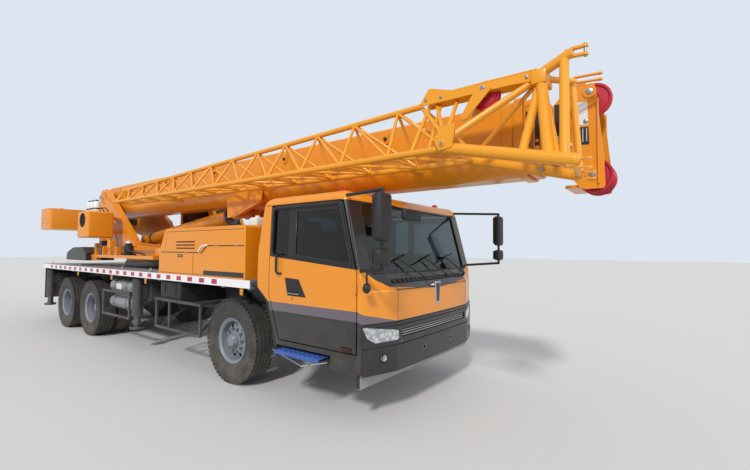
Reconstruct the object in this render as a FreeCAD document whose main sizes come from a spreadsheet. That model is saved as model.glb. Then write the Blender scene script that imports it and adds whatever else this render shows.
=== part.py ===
"""Truck-mounted telescopic crane: carrier, slewing superstructure, boom, jib and outriggers.

Millimetres. +X ahead, +Y to the vehicle's left, +Z up. The origin lies on the ground under the
middle of the whole machine, from the counterweight's tail to the front of the boom head's sheave.
"""
import FreeCAD, Part
import os

import Sketcher

V = FreeCAD.Vector
doc = FreeCAD.newDocument("MobileCrane")


# Driving dimensions

SIZES = {
    "half_length": 6300, "half_width": 1250,
    # wheels and axles
    "front_axle_x": 2000, "mid_axle_x": -2650, "tandem_gap": 1350,
    "tyre_radius": 530, "tyre_width": 290, "rim_radius": 262, "rim_lip": 24, "twin_gap": 330,
    "front_track": 2074, "rear_track": 1834, "kingpin_y": 880, "kingpin_radius": 25,
    "stub_radius": 45, "axle_end_radius": 60, "pin_gap": 1,
    # chassis frame
    "rail_out": 460, "rail_wide": 90, "rail_plate": 24, "rail_low": 720, "rail_top": 1200,
    "nose_low": 620, "nose_top": 900, "kick_back": 950, "kick_front": 1400,
    "frame_back": -5560, "frame_front": 4200, "tail_panel": 40,
    # deck, hood and boom rest
    "deck_top": 1320, "deck_plate": 20, "strip_high": 100, "strip_thick": 30,
    "deck_back": -5600, "deck_front": 2490,
    "hood_back": 220, "hood_front": 2400, "hood_top": 1985, "hood_crease": 1640,
    "hood_slope": 180, "hood_wall": 30, "rest_back": 2410, "rest_thick": 70, "rest_half": 400,
    # slewing ring
    "slew_x": -2500, "ring_out": 620, "ring_in": 480, "ring_high": 100, "ring_gap": 0.5,
    "seat_half": 690, "seat_rise": 10,
    # driver's cab
    "cab_back": 2650, "cab_front": 4570, "cab_low": 520, "cab_floor": 900, "cab_belt": 1430,
    "cab_roof": 2290, "cab_wall": 60, "cab_lean": 0.5, "cab_side_in": 70,
    "door_back": 2780, "door_front": 4120, "door_low": 700, "door_top": 2190, "door_gap": 12,
    "hinge_low": 812, "hinge_high": 76, "hinge_lug": 12, "hinge_out": 12, "hinge_barrel": 11.5,
    "hinge_pin": 6, "glass_in": 20, "glass_thick": 8, "bumper_low": 440, "bumper_out": 35, "bumper_wall": 155,
    # outriggers
    "front_box_x": -650, "rear_box_x": -5300, "beam_wide": 150, "beam_low": 840,
    "beam_high": 240, "beam_gap": 5, "box_wall": 15, "box_end": 1040, "jack_y": 1135,
    "jack_tube": 85, "jack_rod": 56, "float_radius": 112, "float_low": 350,
    # superstructure
    "pivot_x": -4200, "pivot_z": 2880, "plate_in": 450, "plate_thick": 50, "pivot_pin": 50,
    "tail_front": -5450, "tail_low": 2150, "tail_top": 2650, "tail_half": 1200,
    "luff_base_x": -2980, "luff_base_z": 1880, "luff_eye_x": 530, "luff_eye_z": 2310,
    "barrel_radius": 130, "barrel_length": 3200, "rod_radius": 75,
    "opcab_back": -2620, "opcab_front": -1030, "opcab_in": 520, "opcab_out": 1200,
    "opcab_top": 2740, "opcab_wall": 50,
    # boom
    "boom_half": 330, "boom_low": 2420, "boom_top": 3130, "boom_round": 230, "boom_wall": 14,
    "nest_gap": 12, "boom_back": -4300, "boom_front": 5380, "collar_pitch": 75,
    "collar_long": 60, "sheave_radius": 190, "anchor_radius": 20,
    # stowed lattice jib
    "chord_side": 62, "lace_side": 36,
}

sheet = doc.addObject("Spreadsheet::Sheet", "Sizes")
for row, (alias, value) in enumerate(SIZES.items(), 1):
    sheet.set("A%d" % row, alias)
    sheet.set("B%d" % row, "%g" % value)
    sheet.setAlias("B%d" % row, alias)
doc.recompute()


class Size:
    """A length worked out from the sheet: its formula for the document, and its value now."""

    def __init__(self, text, value):
        self.text, self.value = text, float(value)

    def __add__(self, other):
        other = size(other)
        return Size("(%s + %s)" % (self.text, other.text), self.value + other.value)

    def __sub__(self, other):
        other = size(other)
        return Size("(%s - %s)" % (self.text, other.text), self.value - other.value)

    def __mul__(self, other):
        other = size(other)
        return Size("(%s * %s)" % (self.text, other.text), self.value * other.value)

    def __truediv__(self, other):
        other = size(other)
        return Size("(%s / %s)" % (self.text, other.text), self.value / other.value)

    def __radd__(self, other):
        return size(other) + self

    def __rsub__(self, other):
        return size(other) - self

    def __rmul__(self, other):
        return size(other) * self

    def __neg__(self):
        return Size("(0 - %s)" % self.text, -self.value)


def size(value):
    return value if isinstance(value, Size) else Size("(%g)" % value, value)


class Named:
    """The sheet's cells by their aliases."""


at = Named()
for alias, value in SIZES.items():
    setattr(at, alias, Size("Sizes." + alias, value))


# Drawing tools

# plane: role, way that its normal points, and its across, up and normal coordinates
PLANES = {"XY": ("XY_Plane", 1, (0, 1, 2)), "XZ": ("XZ_Plane", -1, (0, 2, 1)),
          "YZ": ("YZ_Plane", 1, (1, 2, 0))}
AXES = {"x": V(1, 0, 0), "y": V(0, 1, 0), "z": V(0, 0, 1)}


def bind(thing, place, amount):
    thing.setExpression(place, size(amount).text)


def draw_outline(sketch, outline):
    """A closed outline of straight lines, each corner held by its two sizes."""
    corners = [(size(point[0]), size(point[1])) for point in outline]
    flat = [V(across.value, up.value, 0) for across, up in corners]
    count = len(flat)
    for i in range(count):
        sketch.addGeometry(Part.LineSegment(flat[i], flat[(i + 1) % count]))
    sketch.addConstraint([Sketcher.Constraint("Coincident", i - 1 if i else count - 1, 2, i, 1)
                          for i in range(count)])
    sketch.addConstraint([Sketcher.Constraint(kind, -1, 1, i, 1, corners[i][way].value)
                          for i in range(count)
                          for way, kind in enumerate(("DistanceX", "DistanceY"))])
    for i in range(count):
        for way in range(2):
            bind(sketch, "Constraints[%d]" % (count + 2 * i + way), corners[i][way])


def corner_edges(shape, plane, corner):
    """The edges that rise out of the plane from one corner of an outline."""
    ways = PLANES[plane][2]
    found = []
    for number, edge in enumerate(shape.Edges, 1):
        ends = [vertex.Point for vertex in edge.Vertexes]
        if len(ends) < 2 or abs(ends[0][ways[2]] - ends[1][ways[2]]) < 0.01:
            continue
        if any(abs(end[ways[0]] - corner[0]) + abs(end[ways[1]] - corner[1]) < 0.1
               for end in ends):
            found.append("Edge%d" % number)
    return found


class Solid:
    """A body built up from outlines on its own origin planes, with an optional own place."""

    def __init__(self, name, place=None):
        self.body = doc.addObject("PartDesign::Body", name)
        if place:
            for axis, amount in zip("xyz", place):
                bind(self.body, "Placement.Base." + axis, amount)

    def sketch(self, plane, outline, offset):
        role = PLANES[plane][0]
        drawn = self.body.newObject("Sketcher::SketchObject", "Outline")
        support = [face for face in self.body.Origin.OriginFeatures if face.Role == role]
        drawn.AttachmentSupport = [(support[0], "")]
        drawn.MapMode = "FlatFace"
        bind(drawn, "AttachmentOffset.Base.z", offset)
        draw_outline(drawn, outline)
        return drawn

    def extrude(self, kind, plane, outline, low, high, lean=None, backwards=False):
        """A pad or pocket of an outline of (across, up) or (across, up, corner radius)."""
        low, high = size(low), size(high)
        offset = low if PLANES[plane][1] > 0 else -high
        feature = self.body.newObject("PartDesign::" + kind, kind)
        feature.Profile = self.sketch(plane, outline, offset)
        feature.Reversed = backwards
        bind(feature, "Length", high - low)
        if lean is not None:
            feature.UseCustomVector = True
            feature.Direction = V(-lean, 0, 1)
            feature.AlongSketchNormal = True
        feature.Profile[0].recompute()
        feature.recompute()
        radii = {}
        for point in outline:
            if len(point) > 2:
                radius = size(point[2])
                radii.setdefault(radius.text, (radius, []))[1].append(
                    (size(point[0]).value, size(point[1]).value))
        for radius, corners in radii.values():
            self.round_corners(plane, corners, radius)
        return self

    def round_corners(self, plane, corners, radius):
        base = self.body.Tip
        edges = []
        for corner in corners:
            edges += corner_edges(base.Shape, plane, corner)
        rounding = self.body.newObject("PartDesign::Fillet", "Rounding")
        rounding.Base = (base, edges)
        bind(rounding, "Radius", radius)
        rounding.recompute()

    def pad(self, plane, outline, low, high):
        return self.extrude("Pad", plane, outline, low, high)

    def pocket(self, plane, outline, low, high):
        return self.extrude("Pocket", plane, outline, low, high, backwards=True)

    def lean_pad(self, outline, low, high, lean):
        """An upright pad whose top is set back by lean for each unit of its height."""
        return self.extrude("Pad", "XY", outline, low, high, lean)

    def revolve(self, plane, outline):
        """A full turn about the plane's upright axis; the outline is (radius, along)."""
        drawn = self.sketch(plane, outline, 0)
        feature = self.body.newObject("PartDesign::Revolution", "Revolution")
        feature.Profile = drawn
        feature.ReferenceAxis = (drawn, ["V_Axis"])
        feature.Angle = 360
        return self


def block(name, x, y, z):
    """A box between the low and high values on each axis."""
    made = doc.addObject("Part::Box", name)
    for side, axis, (low, high) in zip(("Length", "Width", "Height"), "xyz", (x, y, z)):
        bind(made, side, size(high) - low)
        bind(made, "Placement.Base." + axis, low)
    return made


def round_bar(name, axis, centre, radius, low, high):
    """A cylinder along an axis; centre holds its other two coordinates in X, Y, Z order."""
    made = doc.addObject("Part::Cylinder", name)
    made.Placement = FreeCAD.Placement(V(), FreeCAD.Rotation(V(0, 0, 1), AXES[axis]))
    bind(made, "Radius", radius)
    bind(made, "Height", size(high) - low)
    others = [letter for letter in "xyz" if letter != axis]
    for letter, amount in zip(others, centre):
        bind(made, "Placement.Base." + letter, amount)
    bind(made, "Placement.Base." + axis, low)
    return made


def shape_of(thing):
    return thing.body if isinstance(thing, Solid) else thing


def fuse(name, *pieces):
    made = doc.addObject("Part::MultiFuse", name)
    made.Shapes = [shape_of(piece) for piece in pieces]
    return made


def common(name, *pieces):
    made = doc.addObject("Part::MultiCommon", name)
    made.Shapes = [shape_of(piece) for piece in pieces]
    return made


def cut(name, base, *tools):
    made = doc.addObject("Part::Cut", name)
    made.Base = shape_of(base)
    made.Tool = shape_of(tools[0]) if len(tools) == 1 else fuse(name + "_tools", *tools)
    return made


def group(name, *pieces):
    """Separate solids that share a node."""
    made = doc.addObject("Part::Compound", name)
    made.Links = [shape_of(piece) for piece in pieces]
    return made


def other_side(name, piece):
    """The same piece on the vehicle's other side."""
    made = doc.addObject("Part::Mirroring", name)
    made.Source = shape_of(piece)
    made.Normal = V(0, 1, 0)
    return made


def both_sides(name, piece):
    return group(name, piece, other_side(name + "_right", piece))


nodes = {}


def keep(node, piece):
    thing = shape_of(piece)
    thing.Label = node
    nodes[node] = thing
    return thing


def bar_shape(start, end, side):
    """A square bar between two points, as a plain shape."""
    along = end - start
    made = Part.makeBox(side, side, along.Length, V(-side / 2, -side / 2, 0))
    made.Placement = FreeCAD.Placement(start, FreeCAD.Rotation(V(0, 0, 1), along))
    return made


def tube_shape(start, end, radius):
    return Part.makeCylinder(radius, (end - start).Length, start, end - start)


def fixed_shape(name, shape):
    made = doc.addObject("Part::Feature", name)
    made.Shape = shape
    return made


# Carrier frame

def chassis_frame():
    rail_in = at.rail_out - at.rail_wide
    skin = at.rail_plate

    def rail_outline(inset):
        return [(at.frame_back + inset, at.rail_low + inset),
                (at.frame_back + inset, at.rail_top - inset),
                (at.kick_back - inset, at.rail_top - inset),
                (at.kick_front - inset, at.nose_top - inset),
                (at.frame_front - inset, at.nose_top - inset),
                (at.frame_front - inset, at.nose_low + inset),
                (at.kick_front - inset, at.nose_low + inset),
                (at.kick_back - inset, at.rail_low + inset)]

    rail = Solid("Rail").pad("XZ", rail_outline(0), rail_in, at.rail_out)
    rail.pocket("XZ", rail_outline(skin), rail_in - 1, at.rail_out - skin)
    for centre in (at.front_box_x, at.rear_box_x):
        rail.pocket("XZ", box_outline(centre), rail_in, at.rail_out + 1)
    members = []
    # place along X, first edge; low and high edges
    for number, (place, low, high) in enumerate((
            (at.frame_back + 30, at.rail_low, at.rail_top),
            (size(-4800), at.rail_low, at.rail_top),
            (at.mid_axle_x - at.tandem_gap / 2 - 20, at.rail_low, at.rail_top),
            (size(-1500), at.rail_low, at.rail_top),
            (size(150), at.rail_low, at.rail_top),
            (size(2700), at.nose_low, at.nose_top),
            (at.frame_front - 70, at.nose_low, at.nose_top))):
        members.append(block("CrossMember%d" % number, (place, place + 40),
                             (skin - at.rail_out, at.rail_out - skin), (low + skin, high - skin)))
    seat = block("RingSeat", (at.slew_x - at.seat_half, at.slew_x + at.seat_half),
                 (-at.seat_half, at.seat_half), (at.rail_top, at.deck_top + at.seat_rise))
    tail = block("TailPanel", (at.frame_back - at.tail_panel, at.frame_back),
                 (50 - at.half_width, at.half_width - 50),
                 (510, at.deck_top - at.strip_high))
    keep("chassis_frame", fuse("Frame", rail, other_side("RailRight", rail), seat, tail, *members))


def box_outline(centre):
    """The outer section of an outrigger box, on the XZ plane."""
    reach = at.beam_wide + at.beam_gap * 2 + at.box_wall * 1.5
    low = at.beam_low - at.beam_gap - at.box_wall
    high = at.beam_low + at.beam_high + at.beam_gap + at.box_wall
    return [(centre - reach, low), (centre - reach, high), (centre + reach, high),
            (centre + reach, low)]


def beam_middle(centre, side):
    """Where a beam lies along X: the left one ahead of the box's middle web."""
    return centre + side * (at.box_wall / 2 + at.beam_gap + at.beam_wide / 2)


def outrigger_boxes():
    boxes = []
    for name, centre in (("Front", at.front_box_x), ("Rear", at.rear_box_x)):
        box = Solid(name + "Box").pad("XZ", box_outline(centre), -at.box_end, at.box_end)
        for side in (1, -1):
            middle = beam_middle(centre, side)
            half = at.beam_wide / 2 + at.beam_gap
            low = at.beam_low - at.pin_gap / 2
            high = at.beam_low + at.beam_high + at.beam_gap
            box.pocket("XZ", [(middle - half, low), (middle - half, high),
                              (middle + half, high), (middle + half, low)],
                       -at.box_end - 1, at.box_end + 1)
        boxes.append(box)
    keep("outrigger_boxes", group("OutriggerBoxes", *boxes))


def outriggers():
    for name, centre in (("front", at.front_box_x), ("rear", at.rear_box_x)):
        for side, word in ((1, "left"), (-1, "right")):
            middle = beam_middle(centre, side)
            tag = "%s_%s" % (name, word)
            ends = (40 - at.box_end, at.jack_y - 30)
            tube_ends = (at.beam_low - 280, at.beam_low + at.beam_high + 100)
            beam = block("Beam" + tag, (middle - at.beam_wide / 2, middle + at.beam_wide / 2),
                         ends if side > 0 else (-ends[1], -ends[0]),
                         (at.beam_low, at.beam_low + at.beam_high))
            jack_y = at.jack_y * side
            tube = round_bar("JackTube" + tag, "z", (middle, jack_y), at.jack_tube, *tube_ends)
            bore = round_bar("JackBore" + tag, "z", (middle, jack_y), at.jack_rod + at.pin_gap / 2,
                             tube_ends[0] - 1, tube_ends[1] - 20)
            keep("outrigger_beam_" + tag, cut("BeamCut" + tag, fuse("BeamFuse" + tag, beam, tube),
                                              bore))
            rod = round_bar("JackRod" + tag, "z", (middle, jack_y), at.jack_rod,
                            at.float_low + 20, tube_ends[1] - 30)
            foot = round_bar("Float" + tag, "z", (middle, jack_y), at.float_radius,
                             at.float_low, at.float_low + 45)
            keep("jack_" + tag, fuse("Jack" + tag, rod, foot))


def deck():
    body = Solid("DeckBody")
    half, edge = at.half_width, at.strip_thick
    low, under = at.deck_top - at.strip_high, at.deck_top - at.deck_plate

    def field(back, front, width):
        return [(back, -width), (front, -width), (front, width), (back, width)]

    body.pad("XY", field(at.deck_back, at.deck_front, half), low, at.deck_top)
    body.pocket("XY", field(at.deck_back + edge, at.deck_front - edge, half - edge), low - 1, under)
    body.pocket("XY", field(at.slew_x - at.seat_half - 5, at.slew_x + at.seat_half + 5,
                            at.seat_half + 5), under - 1, at.deck_top + 1)
    body.pocket("XY", field(size(260), size(1800), at.rail_out), under - 1, at.deck_top + 1)
    bearers = []
    for number, place in enumerate((-5450, -4650, -3700, -1350, -300, 150, 1850, 2400)):
        bearers.append(block("Bearer%d" % number, (place, place + 60), (edge - half, half - edge),
                             (at.rail_top, under)))
    for side in (1, -1):
        post = (at.rail_out - 80, at.rail_out - 10)
        bearers.append(block("Post", (1850, 1910), post if side > 0 else (-post[1], -post[0]),
                             (at.nose_top, at.rail_top)))
    top = at.boom_low - 6
    back, front = at.rest_back, at.rest_back + at.rest_thick
    wide = at.rest_half
    rest = Solid("BoomRest").pad("YZ", [(-wide, at.deck_top), (-wide, top), (wide, top),
                                        (wide, at.deck_top)], back, front)
    rest.pocket("YZ", [(80 - wide, at.deck_top - 1), (80 - wide, top - 120, 60),
                       (wide - 80, top - 120, 60), (wide - 80, at.deck_top - 1)],
                back - 1, front + 1)
    keep("deck", fuse("Deck", body, rest, *bearers))


def engine_hood():
    def outline(inset, low):
        back, front, top = at.hood_back + inset, at.hood_front - inset, at.hood_top - inset
        return [(back, low), (back, at.hood_crease), (back + at.hood_slope, top, 60),
                (front, top, 40), (front, low)]

    wall = at.hood_wall
    hood = Solid("Hood").pad("XZ", outline(size(0), at.deck_top), -at.half_width, at.half_width)
    hood.pocket("XZ", outline(wall, at.deck_top - 1), wall - at.half_width, at.half_width - wall)
    keep("engine_hood", hood)


def engine_block():
    block_body = block("Engine", (350, 1750), (-330, 330), (800, 1560))
    feet = []
    reach = at.rail_out - at.rail_plate
    for place in (500, 1500):
        feet.append(block("EngineFoot", (place, place + 80), (-reach, reach), (820, 870)))
    keep("engine_block", fuse("EngineWithFeet", block_body, *feet))


def slew_ring():
    low = at.deck_top + at.seat_rise
    outer = round_bar("RingOuter", "z", (at.slew_x, 0), at.ring_out, low, low + at.ring_high)
    hole = round_bar("RingHole", "z", (at.slew_x, 0), at.ring_in, low - 1, low + at.ring_high + 1)
    keep("slew_ring", cut("SlewRing", outer, hole))


# Driver's cab

def plan_outline(inset):
    """The cab's outline from above, its curved nose included."""
    side = at.half_width - inset
    nose = at.cab_front - inset
    return [(at.cab_back + inset, -side),
            (nose + inset / 2 - 390, -side, 200 - inset),
            (nose - 130, inset / 2 - 930, 250 - inset),
            (nose, 0, 3000),
            (nose - 130, 930 - inset / 2, 250 - inset),
            (nose + inset / 2 - 390, side, 200 - inset),
            (at.cab_back + inset, side)]


def cab_solid(name, inset, low):
    """The whole cab as a solid, with all its outer faces moved in by inset; made once a name."""
    if doc.getObject(name):
        return doc.getObject(name)
    inset = size(inset)
    roof = at.cab_roof - inset
    lower = Solid(name + "Lower").pad("XY", plan_outline(inset), low, at.cab_belt)
    upper = Solid(name + "Upper")
    upper.lean_pad(plan_outline(inset), at.cab_belt, roof, at.cab_lean.value)
    side, top_side = at.half_width - inset, at.half_width - at.cab_side_in - inset
    round_up = 110 - inset / 2
    front = Solid(name + "Front").pad(
        "YZ", [(-side, low), (-side, at.cab_belt + 50), (-top_side, roof, round_up),
               (top_side, roof, round_up), (side, at.cab_belt + 50), (side, low)],
        at.cab_back + inset, at.cab_front + 200)
    return common(name, fuse(name + "Whole", lower, upper), front)


def door_outline(gap):
    return [(at.door_back + gap, at.door_low + gap), (at.door_front - gap, at.door_low + gap),
            (at.door_front - gap, at.cab_belt + 70 - gap / 2),
            (at.door_front - 380 - gap, at.door_top - gap, 50),
            (at.door_back + gap, at.door_top - gap, 60)]


def side_window_outline():
    return [(at.door_back + 80, at.cab_belt + 110, 40), (at.door_front - 120, at.cab_belt + 40, 30),
            (at.door_front - 430, at.door_top - 80, 40), (at.door_back + 80, at.door_top - 80, 40)]


def windscreen_outline():
    return [(-1075, at.cab_belt + 30, 60), (-1010, at.cab_roof - 90, 80),
            (1010, at.cab_roof - 90, 80), (1075, at.cab_belt + 30, 60)]


def rear_window_outline():
    return [(-700, 1700, 60), (-700, 2120, 60), (700, 2120, 60), (700, 1700, 60)]


def hinge_place(side):
    return at.door_front - 8, (at.half_width + at.hinge_out) * side


def hinge_barrel(low, gap, side, way, high=at.hinge_high):
    """One knuckle of a door hinge with its leaf, ahead of the pin (way 1) or behind it (-1)."""
    x, y = hinge_place(side)
    barrel = round_bar("HingeBarrel", "z", (x, y), at.hinge_barrel, low + gap, low + high - gap)
    face = at.half_width * side
    near, far = face - (16 if way > 0 else 1) * side, face + 8 * side
    leaf = block("HingeLeaf", (x, x + 38) if way > 0 else (x - 38, x),
                 (near, far) if side > 0 else (far, near), (low + gap, low + high - gap))
    return fuse("HingeKnuckle", barrel, leaf)


def driver_cab():
    wall = at.cab_wall
    outer = cab_solid("CabOuter", 0, at.cab_low)
    inner = cab_solid("CabInner", wall, at.cab_low - 10)
    walls = cut("CabWalls", outer, inner)
    nose_clear = block("NoseClear", (at.frame_front - 50, at.cab_front + 100), (-1300, 1300),
                       (at.cab_low - 20, at.cab_floor))
    back_clear = block("BackClear", (at.cab_back - 10, at.cab_back + wall + 10),
                       (wall - at.half_width, at.half_width - wall),
                       (at.cab_low - 20, at.cab_floor))
    openings, hinges = [], []
    at_hinges = (at.hinge_low, at.hinge_low + 480)
    for side, word in ((1, "left"), (-1, "right")):
        reach = (1000, 1300) if side > 0 else (-1300, -1000)
        hole = Solid("DoorHole" + word).pad("XZ", door_outline(size(0)), *reach)
        openings.append(hole)
        slab = Solid("DoorSlab" + word).pad("XZ", door_outline(at.door_gap), *reach)
        window = Solid("DoorWindow" + word).pad("XZ", side_window_outline(), *reach)
        leaf = cut("Door" + word, common("DoorWall" + word, walls, slab), window)
        knuckles, pins = [], []
        for low in at_hinges:
            knuckles.append(hinge_barrel(low, 0.5, side, -1))
            pins += [hinge_barrel(low - at.hinge_lug, 0, side, 1, at.hinge_lug),
                     hinge_barrel(low + at.hinge_high, 0, side, 1, at.hinge_lug),
                     round_bar("HingePin", "z", hinge_place(side), at.hinge_pin, low, low +
                               at.hinge_high)]
        hinges += pins
        bores = [round_bar("HingeBore", "z", hinge_place(side), at.hinge_pin + at.pin_gap / 2,
                           low - 1, low + at.hinge_high + 1) for low in at_hinges]
        keep("door_" + word, cut("DoorBored" + word, fuse("DoorHung" + word, leaf, *knuckles),
                                 *bores))
        pane = Solid("DoorPaneCut" + word).pad("XZ", side_window_outline(), *reach)
        keep("door_glass_" + word, common("DoorGlass" + word, glass_skin(), pane))
    windscreen = Solid("WindscreenHole").pad("YZ", windscreen_outline(), 3500, 4800)
    rear = Solid("RearHole").pad("YZ", rear_window_outline(), at.cab_back - 10,
                                 at.cab_back + wall + 10)
    shell = cut("CabOpen", walls, nose_clear, back_clear, windscreen, rear, *openings)
    floor_box = block("FloorBox", (at.cab_back, at.cab_front), (-1300, 1300),
                      (at.cab_floor, at.cab_floor + wall))
    floor = common("FloorWhole", inner, floor_box)
    sills = []
    for side in (1, -1):
        reach = (at.half_width - wall - 10, 1300)
        sills.append(block("SillClear", (at.door_back, at.door_front),
                           reach if side > 0 else (-reach[1], -reach[0]),
                           (at.cab_floor - 10, at.cab_floor + wall + 10)))
    keep("cab_shell", fuse("CabShell", shell, cut("Floor", floor, *sills), *hinges))
    windscreen_cut = Solid("WindscreenCut").pad("YZ", windscreen_outline(), 3500, 4800)
    rear_cut = Solid("RearCut").pad("YZ", rear_window_outline(), at.cab_back, at.cab_back + 60)
    keep("cab_glass", group("CabGlass",
                            common("Windscreen", glass_skin(), windscreen_cut),
                            common("RearGlass", glass_skin(), rear_cut)))


def glass_skin():
    """The thin layer inside the cab's faces that all its panes are cut from."""
    if doc.getObject("GlassSkin"):
        return doc.getObject("GlassSkin")
    outer = cab_solid("GlassOut", at.glass_in, at.cab_floor)
    inner = cab_solid("GlassIn", at.glass_in + at.glass_thick, at.cab_floor - 10)
    return cut("GlassSkin", outer, inner)


def cab_interior():
    floor = at.cab_floor + at.cab_wall
    seats = []
    for number, middle in enumerate((640, -640)):
        seat = Solid("Seat%d" % number).pad(
            "XZ", [(3000, floor), (3000, floor + 330), (2900, floor + 900, 40),
                   (3030, floor + 920, 40), (3140, floor + 430, 40), (3560, floor + 450, 50),
                   (3560, floor + 330, 40), (3420, floor + 300), (3420, floor)],
            middle - 250, middle + 250)
        seats.append(seat)
    dash = Solid("Dash").pad(
        "XZ", [(3950, floor), (3850, floor + 480, 60), (4080, floor + 510, 60), (4220, floor + 420),
               (4220, floor)], -980, 980)
    wheel = doc.addObject("Part::Torus", "SteeringWheel")
    wheel.Radius1, wheel.Radius2 = 220, 18
    wheel.Placement = FreeCAD.Placement(V(3780, 640, 1520), FreeCAD.Rotation(V(0, 1, 0), -30))
    column = fixed_shape("Column", tube_shape(V(3780, 640, 1520), V(3930, 640, 1250), 30))
    spokes = fixed_shape("Spokes", bar_shape(V(3780, 430, 1520), V(3780, 850, 1520), 24))
    keep("cab_interior", group("CabInterior", *seats, fuse("DashWithWheel", dash, wheel, column,
                                                          spokes)))


def front_bumper():
    top = at.cab_floor - 5
    out, deep = -at.bumper_out, at.bumper_wall - at.bumper_out
    start = at.frame_front - 40

    def ring(name, outset, inset, low, high):
        whole = Solid(name + "Out").pad("XY", plan_outline(outset), low, high)
        hole = Solid(name + "In").pad("XY", plan_outline(inset), low - 1, high + 1)
        ahead = block(name + "Ahead", (start, at.cab_front + 100), (-1400, 1400),
                      (low - 1, high + 1))
        return common(name, cut(name + "Ring", whole, hole), ahead)

    lamp_boxes, lamps = [], []
    for side in (1, -1):
        for number, (near, far, low, high) in enumerate(((740, 1130, 770, 880),
                                                         (800, 960, 600, 690))):
            spread = (near, far) if side > 0 else (-far, -near)
            inner = (near + 3, far - 3) if side > 0 else (3 - far, -near - 3)
            lamp_boxes.append(block("LampHole", (4250, 4750), spread, (low, high)))
            lamps.append(block("LampFill", (4250, 4750), inner, (low + 3, high - 3)))
    shape = ring("Bumper", out, deep, at.bumper_low, top)
    recess = common("LampRecess", ring("LampDeep", out - 10, size(60), size(590), size(890)),
                    fuse("LampHoles", *lamp_boxes))
    brackets = []
    for side in (1, -1):
        reach = (at.rail_out - 80, at.rail_out - 10)
        brackets.append(block("BumperBracket", (at.frame_front, at.frame_front + 230),
                              reach if side > 0 else (-reach[1], -reach[0]),
                              (at.nose_low + 40, at.nose_top - 60)))
    keep("front_bumper", fuse("BumperWhole", cut("BumperCut", shape, recess), *brackets))
    lamp_ring = ring("LampBody", out + 5, size(60), size(595), size(885))
    bodies = [common("Lamp%d" % number, lamp_ring, fill) for number, fill in enumerate(lamps)]
    keep("lamps", group("Lamps", *bodies))


def mirrors():
    tube = 16
    upright = (V(4520, 1400, 1480), V(4520, 1400, 2260))
    arms = [upright, (V(3950, 1120, 2180), upright[1]), (V(4230, 1170, 1400), upright[0])]
    frame = None
    for start, end in arms:
        bar = tube_shape(start, end, tube).fuse(Part.makeSphere(tube, end))
        frame = bar if frame is None else frame.fuse(bar)
    for low, high in ((1760, 2190), (1560, 1700)):
        housing = Part.makeBox(90, 200, high - low, V(4475, 1300, low))
        frame = frame.fuse(housing.makeFillet(35, housing.Edges))
    wall = cab_solid("CabOuter", 0, at.cab_low)
    left = cut("MirrorLeft", fixed_shape("MirrorFrame", frame), wall)
    keep("mirrors", both_sides("Mirrors", left))


# Under the deck

def side_guards():
    parts = []
    for low in (530, 860):
        parts.append(block("GuardRail", (140, 1310), (1190, 1230), (low, low + 40)))
    for place in (140, 700, 1270):
        parts.append(block("GuardPost", (place, place + 40), (1190, 1230), (570, 860)))
    for place in (260, 1150):
        parts.append(block("GuardArm", (place, place + 40), (at.rail_out, 1190), (860, 900)))
    keep("side_guards", both_sides("SideGuards", fuse("Guard", *parts)))


def side_tanks():
    pieces = []
    for number, height in enumerate((720, 1010)):
        tank = round_bar("AirTank%d" % number, "x", (-1010, height), 125, -1900, -1050)
        bracket = block("TankBracket%d" % number, (-1700, -1640), (-900, -at.rail_out),
                        (height - 20, height + 20))
        pieces.append(fuse("Tank%d" % number, tank, bracket))
    pieces.append(block("BatteryBox", (180, 760), (-1180, -at.rail_out), (905, 1190)))
    pieces.append(block("FuelTank", (-1950, -1050), (at.rail_out, 1200), (640, 1150)))
    keep("side_tanks", group("SideTanks", *pieces))


def front_axle():
    beam = Solid("AxleBeam").pad(
        "YZ", [(-845, 470), (-845, 590), (-650, 590, 60), (-520, 520, 60), (520, 520, 60),
               (650, 590, 60), (845, 590), (845, 470), (640, 470, 60), (500, 420, 60),
               (-500, 420, 60), (-640, 470, 60)],
        at.front_axle_x - 55, at.front_axle_x + 55)
    eyes, bores, springs = [], [], []
    for side in (1, -1):
        place = (at.front_axle_x, at.kingpin_y * side)
        eyes.append(round_bar("PinEye", "z", place, 58, 470, 590))
        bores.append(round_bar("PinBore", "z", place, at.kingpin_radius + at.pin_gap, 460, 600))
        spread = (at.rail_out - 80, at.rail_out - 10)
        half = 720
        springs.append(Solid("FrontSpring").pad(
            "XZ", [(at.front_axle_x - half, 590), (at.front_axle_x - half, at.nose_low),
                   (at.front_axle_x - 600, at.nose_low), (at.front_axle_x, 570, 1500),
                   (at.front_axle_x + 600, at.nose_low), (at.front_axle_x + half, at.nose_low),
                   (at.front_axle_x + half, 590), (at.front_axle_x, 498, 1600)],
            *(spread if side > 0 else (-spread[1], -spread[0]))))
    keep("front_axle", cut("FrontAxle", fuse("BeamEyes", beam, *eyes, *springs), *bores))


def knuckles():
    x, pin = at.front_axle_x, at.kingpin_y
    parts = [round_bar("KingPin", "z", (x, pin), at.kingpin_radius, 440, 630),
             block("UpperArm", (x - 55, x + 55), (pin - 55, pin + 105), (600, 630)),
             block("LowerArm", (x - 55, x + 55), (pin - 55, pin + 105), (430, 460)),
             block("ArmWeb", (x - 55, x + 55), (pin + 70, pin + 105), (430, 630)),
             round_bar("Stub", "y", (x, at.tyre_radius), at.stub_radius, pin + 100,
                       at.front_track / 2 + 95)]
    left = fuse("KnuckleLeft", *parts)
    keep("knuckle_left", left)
    keep("knuckle_right", other_side("KnuckleRight", left))


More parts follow.
